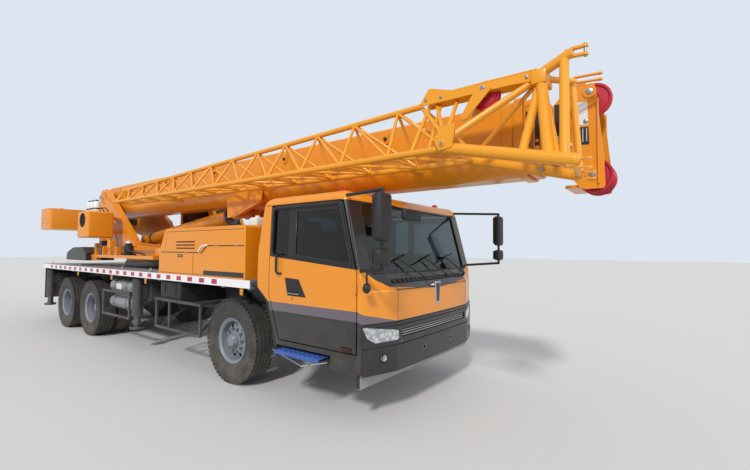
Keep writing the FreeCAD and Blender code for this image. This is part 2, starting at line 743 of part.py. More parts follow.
def rear_axles():
    parts = []
    for number in range(2):
        place = (at.mid_axle_x - at.tandem_gap * number, size(0), at.tyre_radius)
        bore, end = at.axle_end_radius, at.rear_track / 2 + 143
        parts.append(Solid("RearAxle%d" % number, place).revolve(
            "XY", [(0, -end), (bore, -end), (bore, -760), (200, -750), (200, -610), (80, -600),
                   (80, -260), (200, -120, 60), (200, 120, 60), (80, 260), (80, 600), (200, 610),
                   (200, 750), (bore, 760), (bore, end), (0, end)]))
    middle = at.mid_axle_x - at.tandem_gap / 2
    half = at.tandem_gap / 2 + 90
    seat = at.tyre_radius + 70
    for side in (1, -1):
        spread = (at.rail_out - 80, at.rail_out - 10)
        parts.append(Solid("RearSpring").pad(
            "XZ", [(middle - half, seat), (middle - half, seat + 40), (middle - 170, at.rail_low),
                   (middle + 170, at.rail_low), (middle + half, seat + 40), (middle + half, seat)],
            *(spread if side > 0 else (-spread[1], -spread[0]))))
    keep("rear_axles", fuse("RearAxles", *parts))


# Wheels

def tyre_outline(middle):
    half, outer, bead = at.tyre_width / 2, at.tyre_radius, at.rim_radius
    lip = bead + at.rim_lip + 4
    return [(bead, middle - 103), (bead, middle + 103), (lip, middle + 103),
            (outer - 130, middle + half),
            (outer - 35, middle + half - 6), (outer, middle + half - 38),
            (outer, middle - half + 38), (outer - 35, middle - half + 6),
            (outer - 130, middle - half), (lip, middle - 103)]


def front_rim_outline():
    seat, lip = at.rim_radius - 1, at.rim_radius + at.rim_lip
    bore = at.stub_radius + at.pin_gap
    return [(bore, -40), (130, -40), (130, 0), (215, 10), (240, -30), (240, -115), (lip, -121),
            (lip, -108), (seat, -104), (seat, 104), (lip, 108), (lip, 121), (240, 115),
            (240, 20), (215, 45), (130, 60), (105, 140), (0, 140), (0, 100), (bore, 100)]


def twin_rim_outline():
    seat, lip = at.rim_radius - 1, at.rim_radius + at.rim_lip
    bore, mid = at.axle_end_radius + at.pin_gap, at.twin_gap / 2
    return [(bore, -150), (120, -150), (120, -25), (215, -25), (240, -60), (240, -mid - 115),
            (lip, -mid - 121), (lip, -mid - 108), (seat, -mid - 104), (seat, 104 - mid),
            (lip, 108 - mid), (lip, 121 - mid), (seat, 125 - mid), (seat, mid - 125),
            (lip, mid - 121), (lip, mid - 108), (seat, mid - 104), (seat, mid + 104),
            (lip, mid + 108), (lip, mid + 121), (240, mid + 115), (240, 60), (215, 25),
            (120, 25), (110, 200), (0, 200), (0, 150), (bore, 150)]


def flipped(outline):
    return [(radius, -size(along)) for radius, along in outline]


def wheels():
    x_mid, x_rear = at.mid_axle_x, at.mid_axle_x - at.tandem_gap
    for side, word in ((1, "left"), (-1, "right")):
        place = (at.front_axle_x, at.front_track / 2 * side, at.tyre_radius)
        rim = front_rim_outline() if side > 0 else flipped(front_rim_outline())
        keep("tyre_front_" + word, Solid("FrontTyre", place).revolve("XY", tyre_outline(size(0))))
        keep("rim_front_" + word, Solid("FrontRim", place).revolve("XY", rim))
        for name, x in (("mid", x_mid), ("rear", x_rear)):
            place = (x, at.rear_track / 2 * side, at.tyre_radius)
            pair = [Solid("TwinTyre", place).revolve("XY", tyre_outline(at.twin_gap / 2 * out))
                    for out in (1, -1)]
            keep("tyres_%s_%s" % (name, word), group("TwinTyres", *pair))
            rim = twin_rim_outline() if side > 0 else flipped(twin_rim_outline())
            keep("rims_%s_%s" % (name, word), Solid("TwinRim", place).revolve("XY", rim))


# Superstructure

def turntable_frame():
    ring_low = at.deck_top + at.seat_rise
    floor = ring_low + at.ring_high + 70
    spigot = round_bar("Spigot", "z", (at.slew_x, 0), at.ring_in - at.ring_gap, ring_low + 10,
                       floor)
    race = round_bar("Race", "z", (at.slew_x, 0), at.ring_out - 20, floor - 64, floor)
    base = block("TurntableBase", (-3470, -650), (-950, 950), (floor, floor + 60))
    plates = []
    for side in (1, -1):
        spread = (at.plate_in, at.plate_in + at.plate_thick)
        plate = Solid("SidePlate").pad(
            "XZ", [(-650, floor), (-650, 1700), (-2350, 1800),
                   (at.pivot_x + 170, at.pivot_z + 180, 120),
                   (at.pivot_x - 180, at.pivot_z + 180, 120), (at.pivot_x - 270, 2640),
                   (at.tail_front, at.tail_top - 30), (at.tail_front, at.tail_low + 60),
                   (-4300, 2000), (-3470, floor)],
            *(spread if side > 0 else (-spread[1], -spread[0])))
        plates.append(plate)
        ear = (80, 120) if side > 0 else (-120, -80)
        plates.append(Solid("LuffEar").pad(
            "XZ", [(-3180, floor + 50), (at.luff_base_x - 110, at.luff_base_z + 100, 90),
                   (at.luff_base_x + 110, at.luff_base_z + 100, 90), (-2780, floor + 50)], *ear))
    pin = round_bar("PivotPin", "y", (at.pivot_x, at.pivot_z), at.pivot_pin,
                    -at.plate_in - at.plate_thick - 20, at.plate_in + at.plate_thick + 20)
    luff_pin = round_bar("LuffPin", "y", (at.luff_base_x, at.luff_base_z), 40, -135, 135)
    ties = [block("TieRear", (-5440, -5400), (-at.plate_in, at.plate_in), (2300, 2600)),
            block("TieFront", (-1200, -1100), (-at.plate_in, at.plate_in), (floor + 50, 1700))]
    keep("turntable_frame", fuse("TurntableFrame", spigot, race, base, pin, luff_pin, *plates,
                                 *ties))


def counterweight():
    back = -at.half_length
    keep("counterweight", Solid("Counterweight").pad(
        "XY", [(back, -at.tail_half, 220), (at.tail_front, -at.tail_half, 60),
               (at.tail_front, at.tail_half, 60), (back, at.tail_half, 220)],
        at.tail_low, at.tail_top))


def winches():
    drums = []
    # place along X, height, drum radius, flange radius
    for number, (x, z, drum, flange) in enumerate(((-4850, 2440, 150, 200),
                                                   (-5230, 2440, 130, 170))):
        core = round_bar("Drum%d" % number, "y", (x, z), drum, -at.plate_in, at.plate_in)
        rims = [round_bar("DrumFlange", "y", (x, z), flange, low, low + 25)
                for low in (-330, 305)]
        drums.append(fuse("Winch%d" % number, core, *rims))
    keep("winches", group("Winches", *drums))


def machinery_box():
    out = -at.plate_in - at.plate_thick
    box = Solid("MachineryBox").pad(
        "XZ", [(-3550, 1910, 40), (-3550, 2520, 40), (-2200, 2520, 40), (-2200, 1910, 40)],
        -1200, out)
    keep("machinery_box", box)


def operator_cab():
    wall = at.opcab_wall
    floor = at.deck_top + at.seat_rise + at.ring_high + 130

    def outline(inset):
        back, front, top = at.opcab_back + inset, at.opcab_front - inset, at.opcab_top - inset
        return [(back, floor + inset), (back, top, 90 - inset), (front - 420, top, 160 - inset),
                (front, 2050, 120 - inset), (front, floor + inset)]

    shell = Solid("OpShell").pad("XZ", outline(size(0)), at.opcab_in, at.opcab_out)
    shell.pocket("XZ", outline(wall), at.opcab_in + wall, at.opcab_out - wall)
    shell.pocket("XZ", [(-2330, floor + 60, 40), (-2330, 2640, 60), (-1560, 2640, 60),
                        (-1180, 2080, 60), (-1180, floor + 60, 40)],
                 at.opcab_out - wall - 1, at.opcab_out + 1)
    shell.pocket("XZ", [(-2500, 2000, 40), (-2500, 2600, 40), (-1560, 2600, 40), (-1200, 2060, 40),
                        (-1200, 2000, 40)],
                 at.opcab_in - 1, at.opcab_in + wall + 1)
    front_window = [(at.opcab_in + 80, 1750), (at.opcab_in + 80, 2560), (at.opcab_out - 80, 2560),
                    (at.opcab_out - 80, 1750)]
    shell.pocket("YZ", front_window, size(-1450), at.opcab_front + 10)
    runner = block("DoorRunner", (at.opcab_back, at.opcab_front),
                   (at.opcab_out, at.opcab_out + 4.7), (floor + 20, floor + 40))
    keep("opcab_shell", fuse("OpCabShell", shell, runner))
    panes = []
    side = Solid("OpSidePane").pad(
        "XZ", [(-2500, 2000, 40), (-2500, 2600, 40), (-1560, 2600, 40), (-1200, 2060, 40),
               (-1200, 2000, 40)], at.opcab_in + 20, at.opcab_in + 28)
    panes.append(side)
    skin = cut("OpFrontSkin",
               Solid("OpFrontOut").pad("XZ", outline(size(20)), at.opcab_in, at.opcab_out),
               Solid("OpFrontIn").pad("XZ", outline(size(28)), at.opcab_in - 1, at.opcab_out + 1))
    window = Solid("OpFrontCut").pad("YZ", front_window, size(-1450), at.opcab_front + 10)
    panes.append(common("OpFrontPane", skin, window))
    keep("opcab_glass", group("OpCabGlass", *panes))
    seat_middle = (at.opcab_in + at.opcab_out) / 2
    keep("opcab_seat", Solid("OpSeat").pad(
        "XZ", [(-2250, floor + 50), (-2250, floor + 400), (-2380, floor + 950, 40),
               (-2250, floor + 980, 40), (-2120, floor + 500, 40), (-1750, floor + 520, 50),
               (-1750, floor + 400, 40), (-1900, floor + 360), (-1900, floor + 50)],
        seat_middle - 230, seat_middle + 230))
    face = at.opcab_out + 5
    door = Solid("OpDoor").pad(
        "XZ", [(-2380, floor + 15, 40), (-2380, 2690, 60), (-1530, 2690, 80), (-1130, 2090, 60),
               (-1130, floor + 15, 40)], face, face + 34)
    door.pocket("XZ", [(-2300, 1950, 40), (-2300, 2610, 40), (-1570, 2610, 40),
                       (-1220, 2060, 40), (-1220, 1950, 40)], face - 1, face + 35)
    keep("opcab_door", door)


# Boom

def section_outline(inset):
    """A boom section from the front: flat top, rounded belly."""
    half = at.boom_half - inset
    low, top = at.boom_low + inset, at.boom_top - inset
    return [(-half, low, at.boom_round - inset), (half, low, at.boom_round - inset),
            (half, top, 30), (-half, top, 30)]


def section_ring(name, outer, inner, back, front):
    """A stretch of boom section between two insets of the outline."""
    solid = Solid(name).pad("YZ", section_outline(outer), back, front)
    hollow = Solid(name + "Hollow").pad("YZ", section_outline(inner), back - 1, front + 1)
    return cut(name + "Wall", solid, hollow)


def boom_section(number, back, front):
    step = (at.boom_wall + at.nest_gap) * number
    return section_ring("Section%d" % (number + 1), step, step + at.boom_wall, back, front)


def collar(number, back, front, proud):
    """The stiffening ring at the mouth of a section."""
    step = (at.boom_wall + at.nest_gap) * number
    return section_ring("Collar%d" % (number + 1), step - proud, step + at.boom_wall, back, front)


def wear_pad(number, back, front, top):
    """A pad that fills the gap between a section and the next one in, less the running gap."""
    inner = (at.boom_wall + at.nest_gap) * number
    level = at.boom_top - inner if top else at.boom_low + inner
    rise = at.nest_gap - at.pin_gap / 2
    high = (level - 1, level + rise) if top else (level - at.nest_gap - 1, level - at.pin_gap / 2)
    return block("WearPad", (back, front), (-60, 60), high)


def boom():
    tube = boom_section(0, at.boom_back, at.boom_front)
    parts = [tube, collar(0, at.boom_front - 80, at.boom_front, 20),
             wear_pad(1, at.boom_front - 80, at.boom_front - 10, False)]
    for side in (1, -1):
        boss = (at.boom_half - 5, at.plate_in - 8)
        parts.append(round_bar("FootBoss", "y", (at.pivot_x, at.pivot_z), 120,
                               *(boss if side > 0 else (-boss[1], -boss[0]))))
        ear = (100, 140) if side > 0 else (-140, -100)
        parts.append(Solid("RodEar").pad(
            "XZ", [(at.luff_eye_x - 220, at.boom_low + 5), (at.luff_eye_x + 480, at.boom_low + 5),
                   (at.luff_eye_x + 100, at.luff_eye_z - 95, 80),
                   (at.luff_eye_x - 100, at.luff_eye_z - 95, 80)], *ear))
    bores = [round_bar("FootBore", "y", (at.pivot_x, at.pivot_z), at.pivot_pin + at.pin_gap,
                       -500, 500),
             round_bar("RodBore", "y", (at.luff_eye_x, at.luff_eye_z), 41, -150, 150)]
    keep("boom_base", cut("BoomBase", fuse("BoomWhole", *parts), *bores))
    for number in range(1, 5):
        back = at.pivot_x + 80 + 40 * number
        front = at.boom_front + 10 + at.collar_pitch * (number - 1) + at.collar_long
        tube = fuse("Tube%d" % number, boom_section(number, back, front),
                    wear_pad(number, back, back + 80, True))
        if number < 4:
            keep("boom_%d" % (number + 1),
                 fuse("Boom%d" % (number + 1), tube,
                      collar(number, front - at.collar_long, front, 20),
                      wear_pad(number + 1, front - at.collar_long, front - 10, False)))
        else:
            boom_head(tube, number, front)


def boom_head(tube, number, front):
    half = at.boom_half - (at.boom_wall + at.nest_gap) * number
    nose = at.half_length
    parts = [tube]
    for side in (1, -1):
        spread = (half - 5, half + 20)
        parts.append(Solid("HeadPlate").pad(
            "XZ", [(front - 55, 2540), (front - 55, 3030), (front + 150, 3240, 60),
                   (nose - 240, 3240, 60), (nose - 130, 3110, 40), (nose - 130, 2990, 40),
                   (nose - 215, 2890), (nose - 180, 2400, 60), (front + 180, 2400, 60)],
            *(spread if side > 0 else (-spread[1], -spread[0]))))
    parts.append(block("HeadBack", (front - 10, front + 30), (-half, half), (2600, 3000)))
    anchor = round_bar("RopeAnchor", "y", (nose - 330, 2440 + 400), at.anchor_radius, -half - 30,
                       half + 30)
    keep("boom_5", cut("Boom5", fuse("Boom5Whole", *parts), anchor))
    upper = (nose - at.sheave_radius, 3050)
    lower = (nose - 330, 2600)
    discs = [round_bar("UpperShaft", "y", upper, 30, 5 - half, half - 5),
             round_bar("UpperSheave", "y", upper, at.sheave_radius, -28, 28),
             round_bar("LowerShaft", "y", lower, 30, 5 - half, half - 5)]
    discs += [round_bar("LowerSheave", "y", lower, 170, low, low + 46)
              for low in (-150, -50, 50)]
    keep("head_sheaves", group("HeadSheaves", fuse("UpperSet", *discs[:2]),
                               fuse("LowerSet", *discs[2:])))


def luff_cylinder():
    base = V(at.luff_base_x.value, 0, at.luff_base_z.value)
    eye = V(at.luff_eye_x.value, 0, at.luff_eye_z.value)
    along = eye - base
    along.normalize()
    tip = base + along * at.barrel_length.value

    def eye_ring(centre, radius, hole, half):
        ring = Part.makeCylinder(radius, 2 * half, centre - V(0, half, 0), V(0, 1, 0))
        return ring, Part.makeCylinder(hole, 2 * half + 2, centre - V(0, half + 1, 0), V(0, 1, 0))

    ring, hole = eye_ring(base, 100, 41, 70)
    neck = tube_shape(base + along * 60, base + along * 240, 69)
    barrel = tube_shape(base + along * 230, tip, at.barrel_radius.value).fuse([ring, neck]).cut(hole)
    bore = tube_shape(base + along * 400, tip + along, at.rod_radius.value + 1)
    keep("luff_barrel", fixed_shape("LuffBarrel", barrel.cut(bore)))
    ring, hole = eye_ring(eye, 85, 40, 70)
    rod = tube_shape(base + along * 600, eye, at.rod_radius.value).fuse(ring).cut(hole)
    keep("luff_rod", fixed_shape("LuffRod", rod))


def jib():
    chord, lace = at.chord_side.value, at.lace_side.value
    boom_face = -at.boom_half.value
    # ends of the three chords, rear tip then root: top, near lower, far lower
    ends = {"top": (V(-2450, -750, 2860), V(4480, -750, 3130)),
            "near": (V(-2450, -900, 2620), V(4960, -1100, 2560)),
            "far": (V(-2450, -600, 2620), V(4960, -500, 2560))}
    panels = 12

    def along(name, share):
        start, end = ends[name]
        return start + (end - start) * share

    bars = [bar_shape(start, end, chord) for start, end in ends.values()]
    for number in range(panels):
        here, middle, there = (number / panels, (number + 0.5) / panels, (number + 1) / panels)
        for low in ("near", "far"):
            bars.append(bar_shape(along(low, here), along("top", middle), lace))
            bars.append(bar_shape(along("top", middle), along(low, there), lace))
        bars.append(bar_shape(along("near", here), along("far", there), lace))
    peak, tip = V(5630, -750, 3090), V(6020, -850, 3220)
    near_foot, far_foot = V(6080, -1100, 2320), V(6020, -600, 2300)
    for start, end, side in ((ends["near"][1], near_foot, chord), (ends["far"][1], far_foot, chord),
                             (ends["top"][1], peak, chord), (peak, tip, chord),
                             (peak, near_foot, lace), (peak, far_foot, lace),
                             (ends["near"][1], peak, lace), (ends["far"][1], peak, lace),
                             (near_foot, far_foot, chord), (ends["near"][1], ends["far"][1], lace),
                             (ends["near"][0], ends["far"][0], lace),
                             (ends["near"][0], ends["top"][0], lace),
                             (ends["far"][0], ends["top"][0], lace)):
        bars.append(bar_shape(start, end, side))
    for share in (0.2, 0.55, 0.9):
        spot = along("far", share)
        bars.append(Part.makeBox(80, boom_face - spot.y, 60, V(spot.x, spot.y, spot.z - 30)))
    whole = bars[0].multiFuse(bars[1:])
    keep("jib", fixed_shape("Jib", whole.removeSplitter()))


# Everything, then the files

for make in (chassis_frame, outrigger_boxes, outriggers, deck, engine_hood, engine_block, slew_ring,
             driver_cab, cab_interior, front_bumper, mirrors, side_guards, side_tanks, front_axle,
             knuckles, rear_axles, wheels, turntable_frame, counterweight, winches, machinery_box,
             operator_cab, boom, luff_cylinder, jib):
    make()
doc.recompute()

for thing in doc.Objects:
    if "Invalid" in thing.State or "Error" in thing.State:
        raise RuntimeError("failed: %s %s" % (thing.Name, thing.State))
for node, thing in nodes.items():
    if thing.Shape.isNull() or not thing.Shape.isValid() or not thing.Shape.Solids:
        raise RuntimeError("no valid solid: " + node)

os.makedirs("parts", exist_ok=True)
for node, thing in nodes.items():
    thing.Shape.exportStep("parts/%s.step" % node)
print(len(nodes), "nodes")
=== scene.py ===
"""Truck crane: detail, finishes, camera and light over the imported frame.

Metres. +X ahead, +Y to the vehicle's left, +Z up, as in the frame.
"""

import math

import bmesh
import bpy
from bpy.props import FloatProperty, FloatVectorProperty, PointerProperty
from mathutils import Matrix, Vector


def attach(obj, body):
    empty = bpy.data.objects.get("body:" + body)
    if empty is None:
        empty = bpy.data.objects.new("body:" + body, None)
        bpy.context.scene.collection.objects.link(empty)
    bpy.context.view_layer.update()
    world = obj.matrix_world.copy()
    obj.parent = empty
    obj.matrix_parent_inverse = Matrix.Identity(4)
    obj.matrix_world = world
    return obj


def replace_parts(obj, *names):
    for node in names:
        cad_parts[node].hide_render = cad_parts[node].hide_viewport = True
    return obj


bl_info = {
    "name": "Truck crane",
    "version": (1, 0, 0),
    "blender": (4, 5, 0),
    "location": "View3D > Sidebar > Crane",
    "description": "Builds the detail and finishes of a truck crane over its packed frame",
    "category": "Add Mesh",
}

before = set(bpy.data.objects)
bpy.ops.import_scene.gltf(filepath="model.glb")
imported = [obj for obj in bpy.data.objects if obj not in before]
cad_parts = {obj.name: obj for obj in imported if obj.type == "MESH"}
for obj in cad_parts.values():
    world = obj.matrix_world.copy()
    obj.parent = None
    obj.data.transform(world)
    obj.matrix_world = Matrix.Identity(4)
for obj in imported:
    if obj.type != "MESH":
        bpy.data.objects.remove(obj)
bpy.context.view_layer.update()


def linear(code):
    """An sRGB hex colour as the linear values that Blender takes."""
    parts = [int(code[i:i + 2], 16) / 255 for i in (1, 3, 5)]
    return [c / 12.92 if c <= 0.04045 else ((c + 0.055) / 1.055) ** 2.4 for c in parts]


def paint(label, code):
    return FloatVectorProperty(name=label, description=label + " colour", subtype="COLOR", size=3,
        min=0, max=1, default=linear(code))


def length(label, value, hint=""):
    return FloatProperty(name=label, description=hint or label, unit="LENGTH", default=value)


class CranePaints(bpy.types.PropertyGroup):
    amber: paint("Amber enamel", "#DC8808")
    jib_amber: paint("Jib enamel", "#E0950E")
    chassis: paint("Chassis enamel", "#23272F")
    skirt: paint("Cab skirt", "#15161A")
    band: paint("Cab band", "#5E5560")
    deck: paint("Chequer plate", "#9AA0A8")
    strip_white: paint("Edge strip", "#E4E2E8")
    strip_red: paint("Edge blocks", "#A3202C")
    rim: paint("Rim enamel", "#77808F")
    tread: paint("Tyre rubber", "#232427")
    step: paint("Cab step", "#2F57A8")
    sheave: paint("Sheave enamel", "#B3122B")
    tank: paint("Tank enamel", "#8B8E93")
    dust: paint("Road dust", "#8C8376")


class CraneSizes(bpy.types.PropertyGroup):
    tyre_radius: length("Tyre radius", 0.53)
    rope_bore: length("Rope diameter", 0.014)


# Shaders


def add_node(tree, kind, settings=(), sockets=(), links=()):
    """A shader node with its settings, socket values and incoming links."""
    made = tree.nodes.new("ShaderNode" + kind)
    for name, value in dict(settings).items():
        setattr(made, name, value)
    for name, value in dict(sockets).items():
        made.inputs[name].default_value = value
    for name, source in dict(links).items():
        tree.links.new(source, made.inputs[name])
    return made


def start_finish(name):
    """An empty material and the object coordinates that its patterns read."""
    made = bpy.data.materials.new(name)
    made.use_nodes = True
    made.node_tree.nodes.clear()
    return made, made.node_tree, add_node(made.node_tree, "TexCoord").outputs["Object"]


def end_finish(tree, sockets, links):
    shader = add_node(tree, "BsdfPrincipled", sockets=sockets, links=links)
    add_node(tree, "OutputMaterial", links={"Surface": shader.outputs[0]})


def blend_colour(tree, share, first, second):
    """The colour output that goes from first to second with share; each is linear or a socket."""
    made = add_node(tree, "Mix", {"data_type": "RGBA"})
    for place, value in ((0, share), (6, first), (7, second)):
        if isinstance(value, bpy.types.NodeSocket):
            tree.links.new(value, made.inputs[place])
        else:
            made.inputs[place].default_value = value if place == 0 else (*value, 1)
    return made.outputs[2]


def road_dust(tree, place, amount, top):
    """How much dust lies on a spot: more towards the road, in cloudy patches."""
    height = add_node(tree, "SeparateXYZ", links={"Vector": place}).outputs["Z"]
    low = add_node(tree, "MapRange", sockets={"From Min": top, "From Max": 0.1, "To Min": 0.12,
        "To Max": 1.0}, links={"Value": height})
    cloud = add_node(tree, "TexNoise", sockets={"Scale": 5.0, "Detail": 8.0, "Roughness": 0.65},
        links={"Vector": place})
    patch = add_node(tree, "MapRange", sockets={"From Min": 0.35, "From Max": 0.7, "To Min": 0.25,
        "To Max": 1.0}, links={"Value": cloud.outputs["Fac"]})
    both = add_node(tree, "Math", {"operation": "MULTIPLY"}, links={0: low.outputs[0],
        1: patch.outputs[0]})
    return add_node(tree, "Math", {"operation": "MULTIPLY", "use_clamp": True}, {1: amount},
        {0: both.outputs[0]}).outputs[0]


def grain_bump(tree, place, size_mm, depth_mm):
    """The bump of a grain whose cells are size_mm across."""
    grain = add_node(tree, "TexNoise", sockets={"Scale": 1000 / size_mm}, links={"Vector": place})
    return add_node(tree, "Bump", sockets={"Strength": 0.5, "Distance": depth_mm / 1000},
        links={"Height": grain.outputs["Fac"]}).outputs[0]


# name: colour, roughness, metallic, coat, grain size mm, grain depth mm, dust, dust top m, mottle
COATINGS = {
    # two-pack enamel sprayed on sheet steel: an even gloss over a faint orange peel
    "amber_enamel": ("amber", 0.36, 0.0, 0.3, 6.0, 0.06, 0.18, 1.6, 0.07),
    "jib_enamel": ("jib_amber", 0.4, 0.0, 0.2, 6.0, 0.06, 0.05, 1.6, 0.08),
    # chassis enamel: thicker and duller, with road film
    "chassis_enamel": ("chassis", 0.48, 0.0, 0.1, 7.0, 0.12, 0.5, 1.5, 0.2),
    "skirt_enamel": ("skirt", 0.33, 0.0, 0.2, 6.0, 0.05, 0.1, 1.3, 0.15),
    "rim_enamel": ("rim", 0.45, 0.1, 0.1, 5.0, 0.1, 0.42, 1.2, 0.18),
    "sheave_enamel": ("sheave", 0.38, 0.0, 0.2, 5.0, 0.08, 0.05, 1.2, 0.12),
    "tank_enamel": ("tank", 0.42, 0.2, 0.1, 6.0, 0.08, 0.35, 1.5, 0.15),
    "step_enamel": ("step", 0.42, 0.0, 0.15, 5.0, 0.08, 0.2, 1.0, 0.15),
    # ABS moulded in a spark-eroded tool: fine leather-like grain, no gloss
    "black_abs": ("#17181B", 0.55, 0.0, 0.0, 4.0, 0.15, 0.12, 1.5, 0.1),
    "smooth_abs": ("#101114", 0.25, 0.0, 0.2, 8.0, 0.02, 0.08, 1.5, 0.05),
    "cab_lining": ("#6C6A68", 0.62, 0.0, 0.0, 4.0, 0.12, 0.0, 1.0, 0.08),
    # tyre rubber cured in a mould: matt, dust in its pores
    "tyre_rubber": ("tread", 0.72, 0.0, 0.0, 4.0, 0.25, 0.42, 1.25, 0.22),
    "hose_rubber": ("#131416", 0.6, 0.0, 0.0, 4.0, 0.08, 0.1, 1.5, 0.1),
    # grey iron as cast in sand, painted over thinly
    "cast_iron": ("#2B2D31", 0.6, 0.5, 0.0, 4.0, 0.35, 0.45, 1.4, 0.25),
    # hard chrome ground and polished: bright with a straight grey reflection
    "chrome_rod": ("#C9CCD0", 0.14, 1.0, 0.0, 5.0, 0.01, 0.03, 1.5, 0.03),
    # float glass silvered behind
    "mirror_silver": ("#DDE2E6", 0.03, 1.0, 0.0, 20.0, 0.005, 0.02, 1.5, 0.01),
    "zinc_steel": ("#A3A6AA", 0.38, 1.0, 0.0, 3.0, 0.05, 0.12, 1.3, 0.12),
    "machined_steel": ("#6E7074", 0.35, 1.0, 0.0, 2.5, 0.05, 0.12, 1.6, 0.15),
    "strip_white": ("strip_white", 0.34, 0.0, 0.25, 3.0, 0.06, 0.16, 1.9, 0.05),
    "strip_red": ("strip_red", 0.34, 0.0, 0.25, 3.0, 0.06, 0.12, 1.9, 0.05),
    "blank_plate": ("#D9DADC", 0.4, 0.0, 0.1, 6.0, 0.02, 0.08, 1.5, 0.06),
}


# the setting and the input sockets of the nodes that the cab's bands are worked out with
INPUTS = {
    "Math": ("operation", (0, 1)),
    "Mix": ("data_type", (0, 2, 3)),
    "MapRange": ("interpolation_type", ("Value", "From Min", "From Max", "To Min", "To Max")),
}


